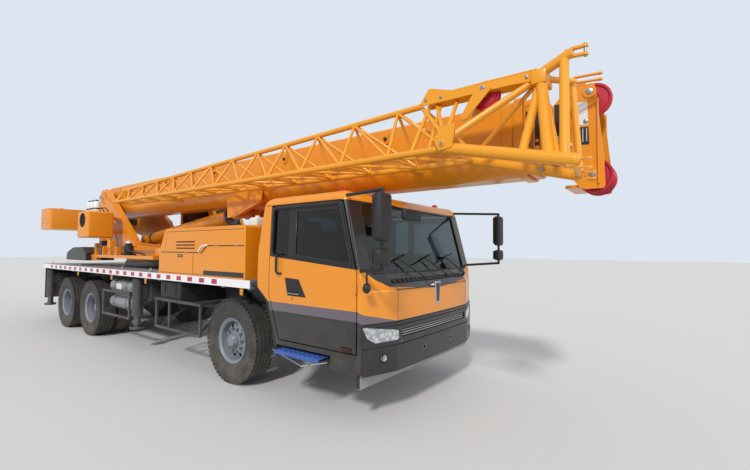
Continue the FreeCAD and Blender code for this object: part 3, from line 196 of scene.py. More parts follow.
class MESH_OT_crane_finishes(bpy.types.Operator):
    """Make the paints, plastics, rubbers, metals and glasses"""
    bl_idname = "mesh.crane_finishes"
    bl_label = "Finishes"

    def execute(self, context):
        paints = context.scene.crane_paints
        for name, row in COATINGS.items():
            self.coating(paints, name, row)
        self.cab_enamel(paints)
        self.machine_enamel(paints)
        self.lamp_lens()
        self.chequer_plate(paints)
        for name, code, rough in (("tinted_glass", "#5C6B70", 0.02), ("screen_glass", "#8FA3A6",
                0.02), ("orange_lens", "#F28A1C", 0.1)):
            self.glass(name, code, rough)
        self.seat_cloth()
        self.wire_rope()
        return {"FINISHED"}

    def coating(self, paints, name, row):
        colour, rough, metallic, coat, grain, depth, dust, top, mottle = row
        base = linear(colour) if colour[0] == "#" else list(getattr(paints, colour))
        _, tree, place = start_finish(name)
        cloud = add_node(tree, "TexNoise", sockets={"Scale": 2.2, "Detail": 7.0, "Roughness": 0.6},
            links={"Vector": place})
        darker, lighter = [[c * (1 + way * mottle) for c in base] for way in (-1, 1)]
        tone = blend_colour(tree, cloud.outputs["Fac"], darker, lighter)
        film = road_dust(tree, place, dust, top)
        tone = blend_colour(tree, film, tone, list(paints.dust))
        rougher = add_node(tree, "MapRange", sockets={"To Min": rough, "To Max": 0.9},
            links={"Value": film})
        end_finish(tree, {"Metallic": metallic, "Coat Weight": coat, "Coat Roughness": 0.12},
            {"Base Color": tone, "Roughness": rougher.outputs[0], "Normal": grain_bump(tree, place,
            grain, depth)})

    def cab_enamel(self, paints):
        """Amber over a slate band and a black skirt, with black round the windows and the cowl."""
        _, tree, place = start_finish("cab_enamel")
        axes = add_node(tree, "SeparateXYZ", links={"Vector": place}).outputs
        film = road_dust(tree, place, 0.25, 1.3)
        made = {"X": axes["X"], "Y": axes["Y"], "Z": axes["Z"], "film": film}
        # a step's name, its node and setting, and its inputs: numbers or earlier steps
        for name, kind, setting, *inputs in (
                ("across", "Math", "ABSOLUTE", "Y"),
                # the lower bands drop from the door's front seam to the nose
                ("drop", "MapRange", "LINEAR", "X", 4.12, 4.29, 0.0, 0.12),
                ("level", "Math", "ADD", "Z", "drop"),
                ("over_skirt", "Math", "GREATER_THAN", "level", 1.012),
                ("over_band", "Math", "GREATER_THAN", "level", 1.108),
                # the black starts at the windows' sills, and in a shallow V over the nose
                ("rise", "MapRange", "LINEAR", "across", 0.0, 0.88, 1.262, 1.325),
                ("cheek", "MapRange", "LINEAR", "across", 0.88, 1.1, 0.0, 0.12),
                ("nose", "Math", "ADD", "rise", "cheek"),
                ("sill", "MapRange", "LINEAR", "X", 2.845, 4.12, 1.612, 1.5),
                ("outer", "MapRange", "LINEAR", "across", 1.1, 1.2, 0.0, 1.0),
                ("edge", "Mix", "FLOAT", "outer", "nose", "sill"),
                ("over_edge", "Math", "GREATER_THAN", "Z", "edge"),
                ("under_roof", "Math", "LESS_THAN", "Z", 2.186),
                ("belt", "Math", "MULTIPLY", "over_edge", "under_roof"),
                ("ahead", "Math", "GREATER_THAN", "X", 2.838),
                ("black", "Math", "MULTIPLY", "belt", "ahead"),
                ("rougher", "MapRange", "LINEAR", "film", 0.0, 1.0, 0.3, 0.9)):
            option, sockets = INPUTS[kind]
            inputs = dict(zip(sockets, (made.get(value, value) for value in inputs)))
            numbers = {key: value for key, value in inputs.items() if isinstance(value, float)}
            links = {key: value for key, value in inputs.items() if key not in numbers}
            made[name] = add_node(tree, kind, {option: setting}, numbers, links).outputs[0]
        cloud = add_node(tree, "TexNoise", sockets={"Scale": 2.0, "Detail": 6.0},
            links={"Vector": place})
        tone = list(paints.skirt)
        amber = blend_colour(tree, cloud.outputs["Fac"], [c * 0.95 for c in paints.amber],
            [c * 1.05 for c in paints.amber])
        for cover, colour in (("over_skirt", list(paints.band)), ("over_band", amber), ("black",
                list(paints.skirt)), ("film", list(paints.dust))):
            tone = blend_colour(tree, made[cover], tone, colour)
        end_finish(tree, {"Coat Weight": 0.4, "Coat Roughness": 0.08}, {"Base Color": tone,
            "Roughness": made["rougher"], "Normal": grain_bump(tree, place, 8.0, 0.04)})

    def lamp_lens(self):
        """Clear moulded lenses over aluminised facets with painted reflections, each facet bright
        at its middle and dark at its edge; orange on the roof, red at the tail.
        """
        _, tree, place = start_finish("lamp_lens")
        axes = add_node(tree, "SeparateXYZ", links={"Vector": place}).outputs
        facets = add_node(tree, "TexVoronoi", sockets={"Scale": 24.0}, links={"Vector": place})
        # painted reflections: each facet's silver goes from bright at its middle to dark at its
        # edge
        shade = add_node(tree, "MapRange", sockets={"From Max": 0.7, "To Min": 0.75,
            "To Max": 0.25}, links={"Value": facets.outputs["Distance"]})
        silver = blend_colour(tree, shade.outputs[0], linear("#5F6873"), linear("#F4F7FA"))
        high = add_node(tree, "Math", {"operation": "GREATER_THAN"}, {1: 2.0}, {0: axes["Z"]})
        tone = blend_colour(tree, high.outputs[0], silver, linear("#F2600C"))
        rear = add_node(tree, "Math", {"operation": "LESS_THAN"}, {1: -5.0}, {0: axes["X"]})
        tone = blend_colour(tree, rear.outputs[0], tone, linear("#B0101A"))
        bump = add_node(tree, "Bump", sockets={"Strength": 0.6, "Distance": 0.006},
            links={"Height": facets.outputs["Distance"]})
        end_finish(tree, {"Metallic": 0.4, "Roughness": 0.16, "Coat Weight": 1.0,
            "Coat Roughness": 0.03}, {"Base Color": tone, "Normal": bump.outputs[0]})

    def machine_enamel(self, paints):
        """Amber, with the low cover behind the turntable in black and the jars above the box
        off-white.
        """
        _, tree, place = start_finish("machine_enamel")
        axes = add_node(tree, "SeparateXYZ", links={"Vector": place}).outputs
        low = add_node(tree, "Math", {"operation": "LESS_THAN"}, {1: 1.85}, {0: axes["Z"]})
        jars = add_node(tree, "Math", {"operation": "GREATER_THAN"}, {1: 2.452}, {0: axes["Z"]})
        tone = blend_colour(tree, low.outputs[0], list(paints.amber), list(paints.skirt))
        tone = blend_colour(tree, jars.outputs[0], tone, linear("#D9D8D2"))
        end_finish(tree, {"Roughness": 0.4, "Coat Weight": 0.25}, {"Base Color": tone,
            "Normal": grain_bump(tree, place, 6.0, 0.06)})

    def chequer_plate(self, paints):
        """Rolled tread plate, painted grey: raised lozenges about 30 mm apart, the plate between
        them a fifth darker.
        """
        _, tree, place = start_finish("chequer_plate")
        turned = add_node(tree, "Mapping", sockets={"Rotation": (0, 0, math.radians(45)),
            "Scale": (34, 34, 34)}, links={"Vector": place})
        cells = add_node(tree, "TexChecker", sockets={"Scale": 1.0},
            links={"Vector": turned.outputs[0]})
        bars = add_node(tree, "TexWave", {"wave_type": "BANDS"}, {"Scale": 0.32},
            {"Vector": turned.outputs[0]})
        lozenge = add_node(tree, "Math", {"operation": "MULTIPLY"}, links={0: cells.outputs["Fac"],
            1: bars.outputs["Fac"]})
        bump = add_node(tree, "Bump", sockets={"Strength": 0.6, "Distance": 0.003},
            links={"Height": lozenge.outputs[0]})
        tone = blend_colour(tree, lozenge.outputs[0], [c * 0.8 for c in paints.deck],
            list(paints.deck))
        film = road_dust(tree, place, 0.5, 3.0)
        tone = blend_colour(tree, film, tone, list(paints.dust))
        end_finish(tree, {"Metallic": 0.3, "Roughness": 0.5}, {"Base Color": tone,
            "Normal": bump.outputs[0]})

    def glass(self, name, code, rough):
        """Toughened or moulded glass, tinted through its thickness, with a dusty film."""
        _, tree, place = start_finish(name)
        film = add_node(tree, "TexNoise", sockets={"Scale": 3.0, "Detail": 8.0},
            links={"Vector": place})
        haze = add_node(tree, "MapRange", sockets={"From Min": 0.4, "From Max": 0.8,
            "To Min": rough, "To Max": rough + 0.08}, links={"Value": film.outputs["Fac"]})
        end_finish(tree, {"Base Color": (*linear(code), 1), "Transmission Weight": 1.0,
            "IOR": 1.45}, {"Roughness": haze.outputs[0]})

    def seat_cloth(self):
        """Woven polyester: dark threads about 3 mm apart, a soft sheen, no gloss."""
        _, tree, place = start_finish("seat_cloth")
        threads = []
        for way in ("X", "Z"):
            threads.append(add_node(tree, "TexWave", {"bands_direction": way}, {"Scale": 52.0},
                {"Vector": place}).outputs["Fac"])
        weave = add_node(tree, "Math", {"operation": "MULTIPLY"}, links={0: threads[0],
            1: threads[1]}).outputs[0]
        tone = blend_colour(tree, weave, linear("#1E2024"), linear("#3A3D45"))
        bump = add_node(tree, "Bump", sockets={"Strength": 0.5, "Distance": 0.001},
            links={"Height": weave})
        end_finish(tree, {"Roughness": 0.85, "Sheen Weight": 0.3}, {"Base Color": tone,
            "Normal": bump.outputs[0]})

    def wire_rope(self):
        """Galvanised steel rope: slanting strands, darker in their grooves."""
        _, tree, place = start_finish("wire_rope")
        strands = add_node(tree, "TexWave", {"bands_direction": "DIAGONAL"}, {"Scale": 30.0},
            {"Vector": place}).outputs["Fac"]
        tone = blend_colour(tree, strands, linear("#2A2622"), linear("#8A857C"))
        bump = add_node(tree, "Bump", sockets={"Strength": 0.8, "Distance": 0.003},
            links={"Height": strands})
        end_finish(tree, {"Roughness": 0.45, "Metallic": 0.8}, {"Base Color": tone,
            "Normal": bump.outputs[0]})


# Modelling


def spots(axis):
    """The two other axes of an axis, in X, Y, Z order."""
    return [i for i in range(3) if i != axis]


class Piece:
    """One mesh of the machine, built up from closed forms, with one finish on one body."""

    def __init__(self, name="", finish="", body="", slot=""):
        self.name, self.finish, self.body, self.slot = name, finish, body, slot
        self.mesh = bmesh.new()

    def soften(self, verts, width, segments=1):
        if width:
            edges = list({edge for vert in verts for edge in vert.link_edges})
            bmesh.ops.bevel(self.mesh, geom=edges, offset=width, segments=segments, profile=0.5,
                affect="EDGES", material=-1, clamp_overlap=True)

    def box(self, low, high, bevel=0.003, turn=None, segments=1):
        """A block between two corners; turn is (axis letter, degrees) about its middle."""
        low, high = Vector(low), Vector(high)
        place = Matrix.Translation((low + high) / 2)
        if turn:
            place = place @ Matrix.Rotation(math.radians(turn[1]), 4, turn[0])
        place = place @ Matrix.Diagonal((*[abs(a - b) for a, b in zip(low, high)], 1))
        made = bmesh.ops.create_cube(self.mesh, size=1, matrix=place)
        self.soften(made["verts"], bevel, segments)
        return self

    def bar(self, start, end, wide, deep=None, bevel=0.0):
        """A square bar between two points."""
        start, end = Vector(start), Vector(end)
        along = end - start
        turn = along.to_track_quat("Z", "Y").to_matrix().to_4x4()
        place = Matrix.Translation((start + end) / 2) @ turn @ Matrix.Diagonal((wide, deep or wide,
            along.length, 1))
        made = bmesh.ops.create_cube(self.mesh, size=1, matrix=place)
        self.soften(made["verts"], bevel)
        return self

    def rod(self, start, end, radius, sides=14, end_radius=None, bevel=0.0):
        """A round bar or cone between two points."""
        start, end = Vector(start), Vector(end)
        along = end - start
        place = Matrix.Translation((start + end) / 2) @ along.to_track_quat("Z",
            "Y").to_matrix().to_4x4()
        made = bmesh.ops.create_cone(self.mesh, cap_ends=True, cap_tris=False, segments=sides,
            radius1=radius, radius2=radius if end_radius is None else end_radius,
            depth=along.length, matrix=place)
        if bevel:
            rims = [edge for vert in made["verts"] for edge in vert.link_edges
                    if abs((edge.verts[0].co - edge.verts[1].co).normalized().dot(
                        along.normalized())) < 0.5]
            bmesh.ops.bevel(self.mesh, geom=list(set(rims)), offset=bevel, segments=2, profile=0.5,
                affect="EDGES", material=-1, clamp_overlap=True)
        return self

    def ball(self, centre, radius, stretch=(1, 1, 1), sides=14):
        bmesh.ops.create_uvsphere(self.mesh, u_segments=sides, v_segments=sides // 2, radius=radius,
            matrix=Matrix.Translation(centre) @ Matrix.Diagonal((*stretch, 1)))
        return self

    def turned(self, outline, axis, centre, steps=48):
        """A closed or open outline of (radius, along) spun about an axis through centre."""
        way = Vector([1.0 if i == axis else 0.0 for i in range(3)])
        out = Vector([1.0 if i == spots(axis)[0] else 0.0 for i in range(3)])
        ring = [self.mesh.verts.new(Vector(centre) + out * radius + way * along) for radius,
            along in outline]
        edges = [self.mesh.edges.new((ring[i],
            ring[(i + 1) % len(ring)])) for i in range(len(ring))]
        bmesh.ops.spin(self.mesh, geom=ring + edges, cent=centre, axis=way, angle=math.tau,
            steps=steps, use_merge=True, use_duplicate=False)
        return self

    def plate(self, outline, axis, low, high, bevel=0.0, segments=1):
        """An outline on the plane across an axis, raised from low to high along it."""
        verts = []
        for point in outline:
            place = [0.0, 0.0, 0.0]
            place[axis] = low
            for i, value in zip(spots(axis), point):
                place[i] = value
            verts.append(self.mesh.verts.new(place))
        face = self.mesh.faces.new(verts)
        made = bmesh.ops.extrude_face_region(self.mesh, geom=[face])
        raised = [part for part in made["geom"] if isinstance(part, bmesh.types.BMVert)]
        shift = Vector([high - low if i == axis else 0.0 for i in range(3)])
        bmesh.ops.translate(self.mesh, verts=raised, vec=shift)
        self.soften(verts + raised, bevel, segments)
        return self

    def pipe(self, points, radius, sides=10):
        """A round tube through points, with a ball at each bend."""
        for start, end in zip(points, points[1:]):
            self.rod(start, end, radius, sides)
        for point in points[1:-1]:
            self.ball(point, radius, sides=sides)
        return self

    def mirrored(self):
        """Everything so far, again on the vehicle's other side."""
        bmesh.ops.mirror(self.mesh,
            geom=self.mesh.verts[:] + self.mesh.edges[:] + self.mesh.faces[:],
            matrix=Matrix.Identity(4), merge_dist=0.0001, axis="Y")
        return self

    def done(self, angle=35, even=False):
        bmesh.ops.remove_doubles(self.mesh, verts=self.mesh.verts[:], dist=0.00005)
        bmesh.ops.recalc_face_normals(self.mesh, faces=self.mesh.faces[:])
        data = bpy.data.meshes.new(self.name)
        self.mesh.to_mesh(data)
        self.mesh.free()
        data.shade_smooth()
        data.set_sharp_from_angle(angle=math.radians(angle))
        data.materials.append(bpy.data.materials[self.finish])
        thing = bpy.data.objects.new(self.name, data)
        bpy.context.scene.collection.objects.link(thing)
        if even:
            thing.modifiers.new("even_normals", "WEIGHTED_NORMAL").keep_sharp = True
        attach(thing, self.body)
        return thing

    def lofted(self, rings):
        """A closed body skinned over rings that all have as many points."""
        loops = [[self.mesh.verts.new(point) for point in ring] for ring in rings]
        for low, high in zip(loops, loops[1:]):
            for i, vert in enumerate(low):
                after = (i + 1) % len(low)
                self.mesh.faces.new((vert, low[after], high[after], high[i]))
        self.mesh.faces.new(loops[0][::-1])
        self.mesh.faces.new(loops[-1])
        return self

    def again(self, name="", finish="", body="", slot=""):
        """A copy of this form as a piece of its own."""
        copy = Piece(name, finish, body, slot)
        copy.mesh = self.mesh.copy()
        return copy

    def carve(self, way, *others):
        """Unite with, cut by or keep only what is in common with other closed forms."""
        for other in others:
            things = []
            for mesh in (self.mesh, other.mesh):
                bmesh.ops.recalc_face_normals(mesh, faces=mesh.faces[:])
                data = bpy.data.meshes.new("working")
                mesh.to_mesh(data)
                things.append(bpy.data.objects.new("working", data))
                bpy.context.scene.collection.objects.link(things[-1])
            modifier = things[0].modifiers.new("working", "BOOLEAN")
            modifier.operation, modifier.object, modifier.solver = way, things[1], "EXACT"
            graph = bpy.context.evaluated_depsgraph_get()
            data = bpy.data.meshes.new_from_object(things[0].evaluated_get(graph))
            self.mesh.clear()
            self.mesh.from_mesh(data)
            bpy.data.meshes.remove(data)
            for thing in things:
                spare = thing.data
                bpy.data.objects.remove(thing)
                bpy.data.meshes.remove(spare)
        return self


def rounded(outline, steps=5):
    """An outline's points, with each corner that has a radius as an arc."""
    points = []
    for i, corner in enumerate(outline):
        here = Vector(corner[:2])
        if len(corner) < 3:
            points.append(tuple(here))
            continue
        before = (Vector(outline[i - 1][:2]) - here).normalized()
        after = (Vector(outline[(i + 1) % len(outline)][:2]) - here).normalized()
        half = before.angle(after) / 2
        centre = here + (before + after).normalized() * corner[2] / math.sin(half)
        run = corner[2] / math.tan(half)
        start, end = here + before * run - centre, here + after * run - centre
        sweep = start.angle_signed(end)
        points += [tuple(centre + Matrix.Rotation(-sweep * step / steps,
            2) @ start) for step in range(steps + 1)]
    return points


def form(outline, axis, low, high):
    """A plain plate to cut with, from an outline with rounded corners."""
    return Piece().plate(rounded(outline), axis, low, high)


# Finishes of the frame's own nodes

NODE_FINISHES = {
    "amber_enamel": ["engine_hood", "turntable_frame", "counterweight",
                     "opcab_shell", "opcab_door", "boom_base", "boom_2", "boom_3", "boom_4",
                     "boom_5", "luff_barrel"],
    "cab_enamel": ["cab_shell", "door_left", "door_right"],
    "jib_enamel": ["jib"],
    "chassis_enamel": ["chassis_frame", "outrigger_boxes", "side_guards",
                       "outrigger_beam_front_left", "outrigger_beam_front_right",
                       "outrigger_beam_rear_left", "outrigger_beam_rear_right"],
    "chequer_plate": ["deck"],
    "screen_glass": ["cab_glass"],
    "tinted_glass": ["door_glass_left", "door_glass_right", "opcab_glass"],
    "cast_iron": ["engine_block", "front_axle", "rear_axles", "knuckle_left", "knuckle_right"],
    "machined_steel": ["slew_ring", "winches", "jack_front_left", "jack_front_right",
                       "jack_rear_left", "jack_rear_right"],
    "chrome_rod": ["luff_rod"],
    "cab_lining": ["cab_interior", "opcab_seat"],
    "skirt_enamel": ["front_bumper"],
    "black_abs": ["mirrors"],
    "lamp_lens": ["lamps"],
    "machine_enamel": ["machinery_box"],
    "tank_enamel": ["side_tanks"],
    "sheave_enamel": ["head_sheaves"],
    "tyre_rubber": ["tyre_front_left", "tyre_front_right", "tyres_mid_left", "tyres_mid_right",
                    "tyres_rear_left", "tyres_rear_right"],
    "rim_enamel": ["rim_front_left", "rim_front_right", "rims_mid_left", "rims_mid_right",
                   "rims_rear_left", "rims_rear_right"],
}


class MESH_OT_crane_frame_dress(bpy.types.Operator):
    """Give each node of the frame its finish"""
    bl_idname = "mesh.crane_frame_dress"
    bl_label = "Frame finishes"

    def execute(self, context):
        for finish, names in NODE_FINISHES.items():
            for name in names:
                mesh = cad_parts[name].data
                mesh.materials.clear()
                mesh.materials.append(bpy.data.materials[finish])
        return {"FINISHED"}


# Camera, floor and light

# the camera fitted to the photograph: focal length and picture width in pixels
FOCAL_PX, WIDTH_PX = 399.9, 750
# its place in metres, and its yaw, pitch and roll in degrees
CAMERA_PLACE = (6.512, -4.159, 1.685)
CAMERA_TURN = (126.89, 2.22, 0.4)


class SCENE_OT_crane_stage(bpy.types.Operator):
    """Set the camera at the photograph's viewing angle, with a pale floor and soft light"""
    bl_idname = "scene.crane_stage"
    bl_label = "Stage"

    def execute(self, context):
        scene = context.scene
        data = bpy.data.cameras.new("camera")
        data.sensor_width = 36
        data.lens = FOCAL_PX / WIDTH_PX * data.sensor_width
        data.clip_end = 200
        camera = bpy.data.objects.new("camera", data)
        scene.collection.objects.link(camera)
        yaw, pitch, roll = (math.radians(v) for v in CAMERA_TURN)
        ahead = Vector((math.cos(yaw) * math.cos(pitch), math.sin(yaw) * math.cos(pitch),
            math.sin(pitch)))
        level = Vector((math.sin(yaw), -math.cos(yaw), 0))
        above = level.cross(ahead)
        right = level * math.cos(roll) + above * math.sin(roll)
        up = above * math.cos(roll) - level * math.sin(roll)
        turn = Matrix((right, up, -ahead)).transposed().to_4x4()
        camera.matrix_world = Matrix.Translation(CAMERA_PLACE) @ turn
        scene.camera = camera

        made, tree, place = start_finish("studio_floor")
        end_finish(tree, {"Base Color": (*linear("#C9CACB"), 1), "Roughness": 0.85}, {})
        mesh = bmesh.new()
        bmesh.ops.create_grid(mesh, x_segments=1, y_segments=1, size=90)
        data = bpy.data.meshes.new("studio_floor")
        mesh.to_mesh(data)
        mesh.free()
        data.materials.append(made)
        floor = bpy.data.objects.new("studio_floor", data)
        scene.collection.objects.link(floor)

        world = bpy.data.worlds.new("studio")
        scene.world = world
        world.use_nodes = True
        tree = world.node_tree
        tree.nodes.clear()
        rays = add_node(tree, "LightPath")
        seen = add_node(tree, "Math", {"operation": "MAXIMUM"},
            links={0: rays.outputs["Is Camera Ray"], 1: rays.outputs["Is Transmission Ray"]})
        light = add_node(tree, "Background", sockets={"Color": (*linear("#EDEFF2"), 1),
            "Strength": 0.75})
        sky = add_node(tree, "Background", sockets={"Color": (*linear("#DDE6F0"), 1),
            "Strength": 1.0})
        mix = add_node(tree, "MixShader", links={0: seen.outputs[0], 1: light.outputs[0],
            2: sky.outputs[0]})
        add_node(tree, "OutputWorld", links={"Surface": mix.outputs[0]})

        for name, energy, size, place, aim in (("key", 2.35, 0.12, (4.0, -9.0, 9.0), (0.5, 0, 1.5)),
                ("fill", 0.7, 0.5, (14.0, 2.0, 6.0), (1.0, 0, 1.5))):
            lamp = bpy.data.lights.new(name, "SUN")
            lamp.energy, lamp.angle = energy, size
            lamp.color = (1.0, 0.97, 0.92)
            thing = bpy.data.objects.new(name, lamp)
            scene.collection.objects.link(thing)
            thing.location = place
            thing.rotation_euler = (Vector(aim) - Vector(place)).to_track_quat("-Z", "Y").to_euler()
        scene.view_settings.view_transform = "Standard"
        return {"FINISHED"}


# Wheels

# body, tyre node, rim node, place along X, place along Y of the wheel's or pair's middle, twin
WHEELS = [
    ("wheel_front_left", "tyre_front_left", "rim_front_left", 2.0, 1.037, False),
    ("wheel_front_right", "tyre_front_right", "rim_front_right", 2.0, -1.037, False),
    ("wheels_mid_left", "tyres_mid_left", "rims_mid_left", -2.65, 0.917, True),
    ("wheels_mid_right", "tyres_mid_right", "rims_mid_right", -2.65, -0.917, True),
    ("wheels_rear_left", "tyres_rear_left", "rims_rear_left", -4.0, 0.917, True),
    ("wheels_rear_right", "tyres_rear_right", "rims_rear_right", -4.0, -0.917, True),
]


class MESH_OT_crane_tyres(bpy.types.Operator):
    """Build the ribbed road tyres with their shoulder blocks"""
    bl_idname = "mesh.crane_tyres"
    bl_label = "Tyres"

    def execute(self, context):
        radius = context.scene.crane_sizes.tyre_radius
        for body, tyre, _, x, y, twin in WHEELS:
            piece = Piece(tyre + "_tread", "tyre_rubber", body, "tyre")
            for shift in ((-0.165, 0.165) if twin else (0,)):
                self.tyre(piece, Vector((x, y + shift, 0.53)), radius)
            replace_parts(piece.done(30), tyre)
        return {"FINISHED"}

    def tyre(self, piece, centre, radius):
        groove, floor, half = 0.012, radius - 0.014, 0.145
        crown = []
        for middle in (-0.055, 0.0, 0.055):
            crown += [(radius - 0.001, middle - groove / 2), (floor, middle - groove / 3), (floor,
                middle + groove / 3), (radius - 0.001, middle + groove / 2)]
        side = [(radius - 0.003, 0.098), (floor, 0.102), (radius - 0.022, 0.132), (radius - 0.05,
            half - 0.006), (radius - 0.085, half - 0.002), (radius - 0.088, half), (radius - 0.12,
            half), (radius - 0.16, half - 0.004), (radius - 0.195, half - 0.014), (radius - 0.198,
            half - 0.01), (radius - 0.215, half - 0.022), (0.292, 0.119), (0.288, 0.106), (0.264,
            0.103)]
        outline = crown + side + [(r, -a) for r, a in reversed(side)]
        piece.turned(outline, 1, centre, steps=72)
        for side in (1, -1):
            for number in range(54):
                angle = math.tau * (number + (0.5 if side > 0 else 0)) / 54
                turn = Matrix.Translation(centre) @ Matrix.Rotation(angle, 4, "Y")
                slant = Matrix.Rotation(math.radians(9 * side), 4, "X")
                place = turn @ Matrix.Translation((0, side * 0.118, radius - 0.016)) @ slant
                bmesh.ops.create_cube(piece.mesh, size=1, matrix=place @ Matrix.Diagonal((0.038,
                    0.042, 0.026, 1)))


class MESH_OT_crane_rims(bpy.types.Operator):
    """Build the pressed disc wheels with hand holes, hubs and nuts"""
    bl_idname = "mesh.crane_rims"
    bl_label = "Rims"

    def execute(self, context):
        for body, _, rim, x, y, twin in WHEELS:
            out = 1 if y > 0 else -1
            piece = Piece(rim + "_disc", "rim_enamel", body, "rim_paint")
            centre = Vector((x, y, 0.53))
            for shift in ((-0.165, 0.165) if twin else (0,)):
                self.barrel(piece, centre + Vector((0, shift, 0)))
            face = [(0.243, 0.0), (0.232, 0.028), (0.205, 0.046), (0.17, 0.054), (0.135, 0.06),
                (0.11, 0.06)]
            if twin:
                face = [(0.243, -0.045), (0.232, -0.015), (0.205, 0.012), (0.17, 0.022), (0.135,
                    0.025), (0.11, 0.025)]
            self.disc(piece, centre, face, out)
            top = 0.2 if twin else 0.14
            base = face[-1][1]
            hub = [(0.0, top), (0.06, top), (0.075, top - 0.012), (0.085, top - 0.03), (0.092,
                base + 0.012), (0.112, base + 0.006), (0.112, base - 0.03), (0.0, base - 0.03)]
            piece.turned([(r, a * out) for r, a in hub], 1, centre, steps=32)
            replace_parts(piece.done(32), rim)
            nuts = Piece(rim + "_nuts", "zinc_steel", body, "steel")
            for number in range(10):
                angle = math.tau * number / 10
                spot = centre + Vector((math.cos(angle) * 0.145, out * (base - 0.004),
                    math.sin(angle) * 0.145))
                lift = Vector((0, out, 0))
                nuts.rod(spot, spot + lift * 0.008, 0.021, 16)
                nuts.rod(spot + lift * 0.008, spot + lift * 0.03, 0.016, 6)
                nuts.rod(spot + lift * 0.03, spot + lift * 0.042, 0.01, 10)
            for number in range(8):
                angle = math.tau * (number + 0.5) / 8
                spot = centre + Vector((math.cos(angle) * 0.072, out * (top - 0.016),
                    math.sin(angle) * 0.072))
                nuts.rod(spot, spot + Vector((0, out * 0.014, 0)), 0.008, 6)
            nuts.done()
        return {"FINISHED"}

    def barrel(self, piece, centre):
        outer = [(0.276, 0.121), (0.286, 0.121), (0.288, 0.114), (0.286, 0.108), (0.266, 0.104),
            (0.261, 0.103), (0.258, 0.06), (0.252, 0.045)]
        inner = [(0.27, 0.113), (0.246, 0.1), (0.246, 0.06), (0.24, 0.045)]
        piece.turned([*outer, *[(r, -a) for r, a in reversed(outer)], *[(r, -a) for r, a in inner],
            *reversed(inner)], 1, centre, steps=64)

    def disc(self, piece, centre, face, out):
        """The pressed disc: a spun strip whose hand holes are left out, then given its wall."""
        strip = bmesh.new()
        way = Vector((0, 1, 0))
        ring = [strip.verts.new(centre + Vector((r, a * out, 0))) for r, a in face]
        edges = [strip.edges.new(pair) for pair in zip(ring, ring[1:])]
        bmesh.ops.spin(strip, geom=ring + edges, cent=centre, axis=way, angle=math.tau, steps=60,
            use_merge=True, use_duplicate=False)
        holes = []
        for panel in strip.faces:
            middle = panel.calc_center_median() - centre
            turn = math.degrees(math.atan2(middle.z, middle.x)) % 36
            if 0.172 < math.hypot(middle.x, middle.z) < 0.222 and turn < 18:
                holes.append(panel)
        bmesh.ops.delete(strip, geom=holes, context="FACES")
        bmesh.ops.recalc_face_normals(strip, faces=strip.faces[:])
        bmesh.ops.solidify(strip, geom=strip.faces[:], thickness=0.009)
        strip.normal_update()
        data = bpy.data.meshes.new("disc")
        strip.to_mesh(data)
        strip.free()
        piece.mesh.from_mesh(data)
        bpy.data.meshes.remove(data)


# Deck, hood and what hangs below the deck

HALF = 1.25      # half the body's width


class MESH_OT_crane_deck(bpy.types.Operator):
    """Build the deck's marked edge strips, brackets, lashing rings and bolts"""
    bl_idname = "mesh.crane_deck"
    bl_label = "Deck edge"

    def execute(self, context):
        white = Piece("deck_strip_white", "strip_white", "carrier", "deck_paint")
        red = Piece("deck_strip_red", "strip_red", "carrier", "deck_paint")
        white.box((-5.595, -HALF - 0.004, 1.222), (2.486, -HALF + 0.001, 1.318), 0.0012)
        for number in range(23):
            x = 1.735 - 0.302 * number
            red.box((x - 0.062, -HALF - 0.0055, 1.24), (x + 0.062, -HALF - 0.003, 1.302), 0.0008)
        white.mirrored().done()
        red.mirrored().done()
        rear = Piece("deck_strip_rear", "strip_white", "carrier", "deck_paint")
        rear.box((-5.604, -HALF + 0.03, 1.222), (-5.599, HALF - 0.03, 1.318), 0.0012).done()
        rear = Piece("deck_strip_rear_red", "strip_red", "carrier", "deck_paint")
        for number in range(8):
            y = -1.06 + 0.302 * number
            rear.box((-5.6055, y - 0.062, 1.24), (-5.603, y + 0.062, 1.302), 0.0008)
        rear.done()
        lugs = Piece("deck_brackets", "amber_enamel", "carrier", "amber_paint")
        for x in (-3.32, -1.62, -0.28, 2.28):
            lugs.plate([(x - 0.035, 1.222), (x + 0.035, 1.222), (x + 0.025, 1.13), (x - 0.025,
                1.13)], 1, -1.225, -1.213, 0.002)
            lugs.box((x - 0.035, -1.225, 1.212), (x + 0.035, -1.14, 1.222), 0.002)
            lugs.rod((x, -1.235, 1.165), (x, -1.205, 1.165), 0.012, 12)
        lugs.mirrored().done()
        rings = Piece("deck_lashing_rings", "zinc_steel", "carrier", "steel")
        for x in (-5.35, -4.45, -3.55, -1.45, -0.35):
            for y in (-1.12, 1.12):
                rings.box((x - 0.045, y - 0.03, 1.319), (x + 0.045, y + 0.03, 1.326), 0.001)
                rings.turned([(0.028, -0.005), (0.033, 0.0), (0.028, 0.005), (0.023, 0.0)], 1, (x,
                    y, 1.346), 20)
        rings.done()
        bolts = Piece("deck_bolts", "zinc_steel", "carrier", "steel")
        for x in (-5.42, -4.62, -3.67, -1.32, -0.27, 0.18):
            for y in (-0.98, -0.78, 0.78, 0.98):
                bolts.rod((x, y, 1.319), (x, y, 1.329), 0.012, 6)
        bolts.done()
        return {"FINISHED"}


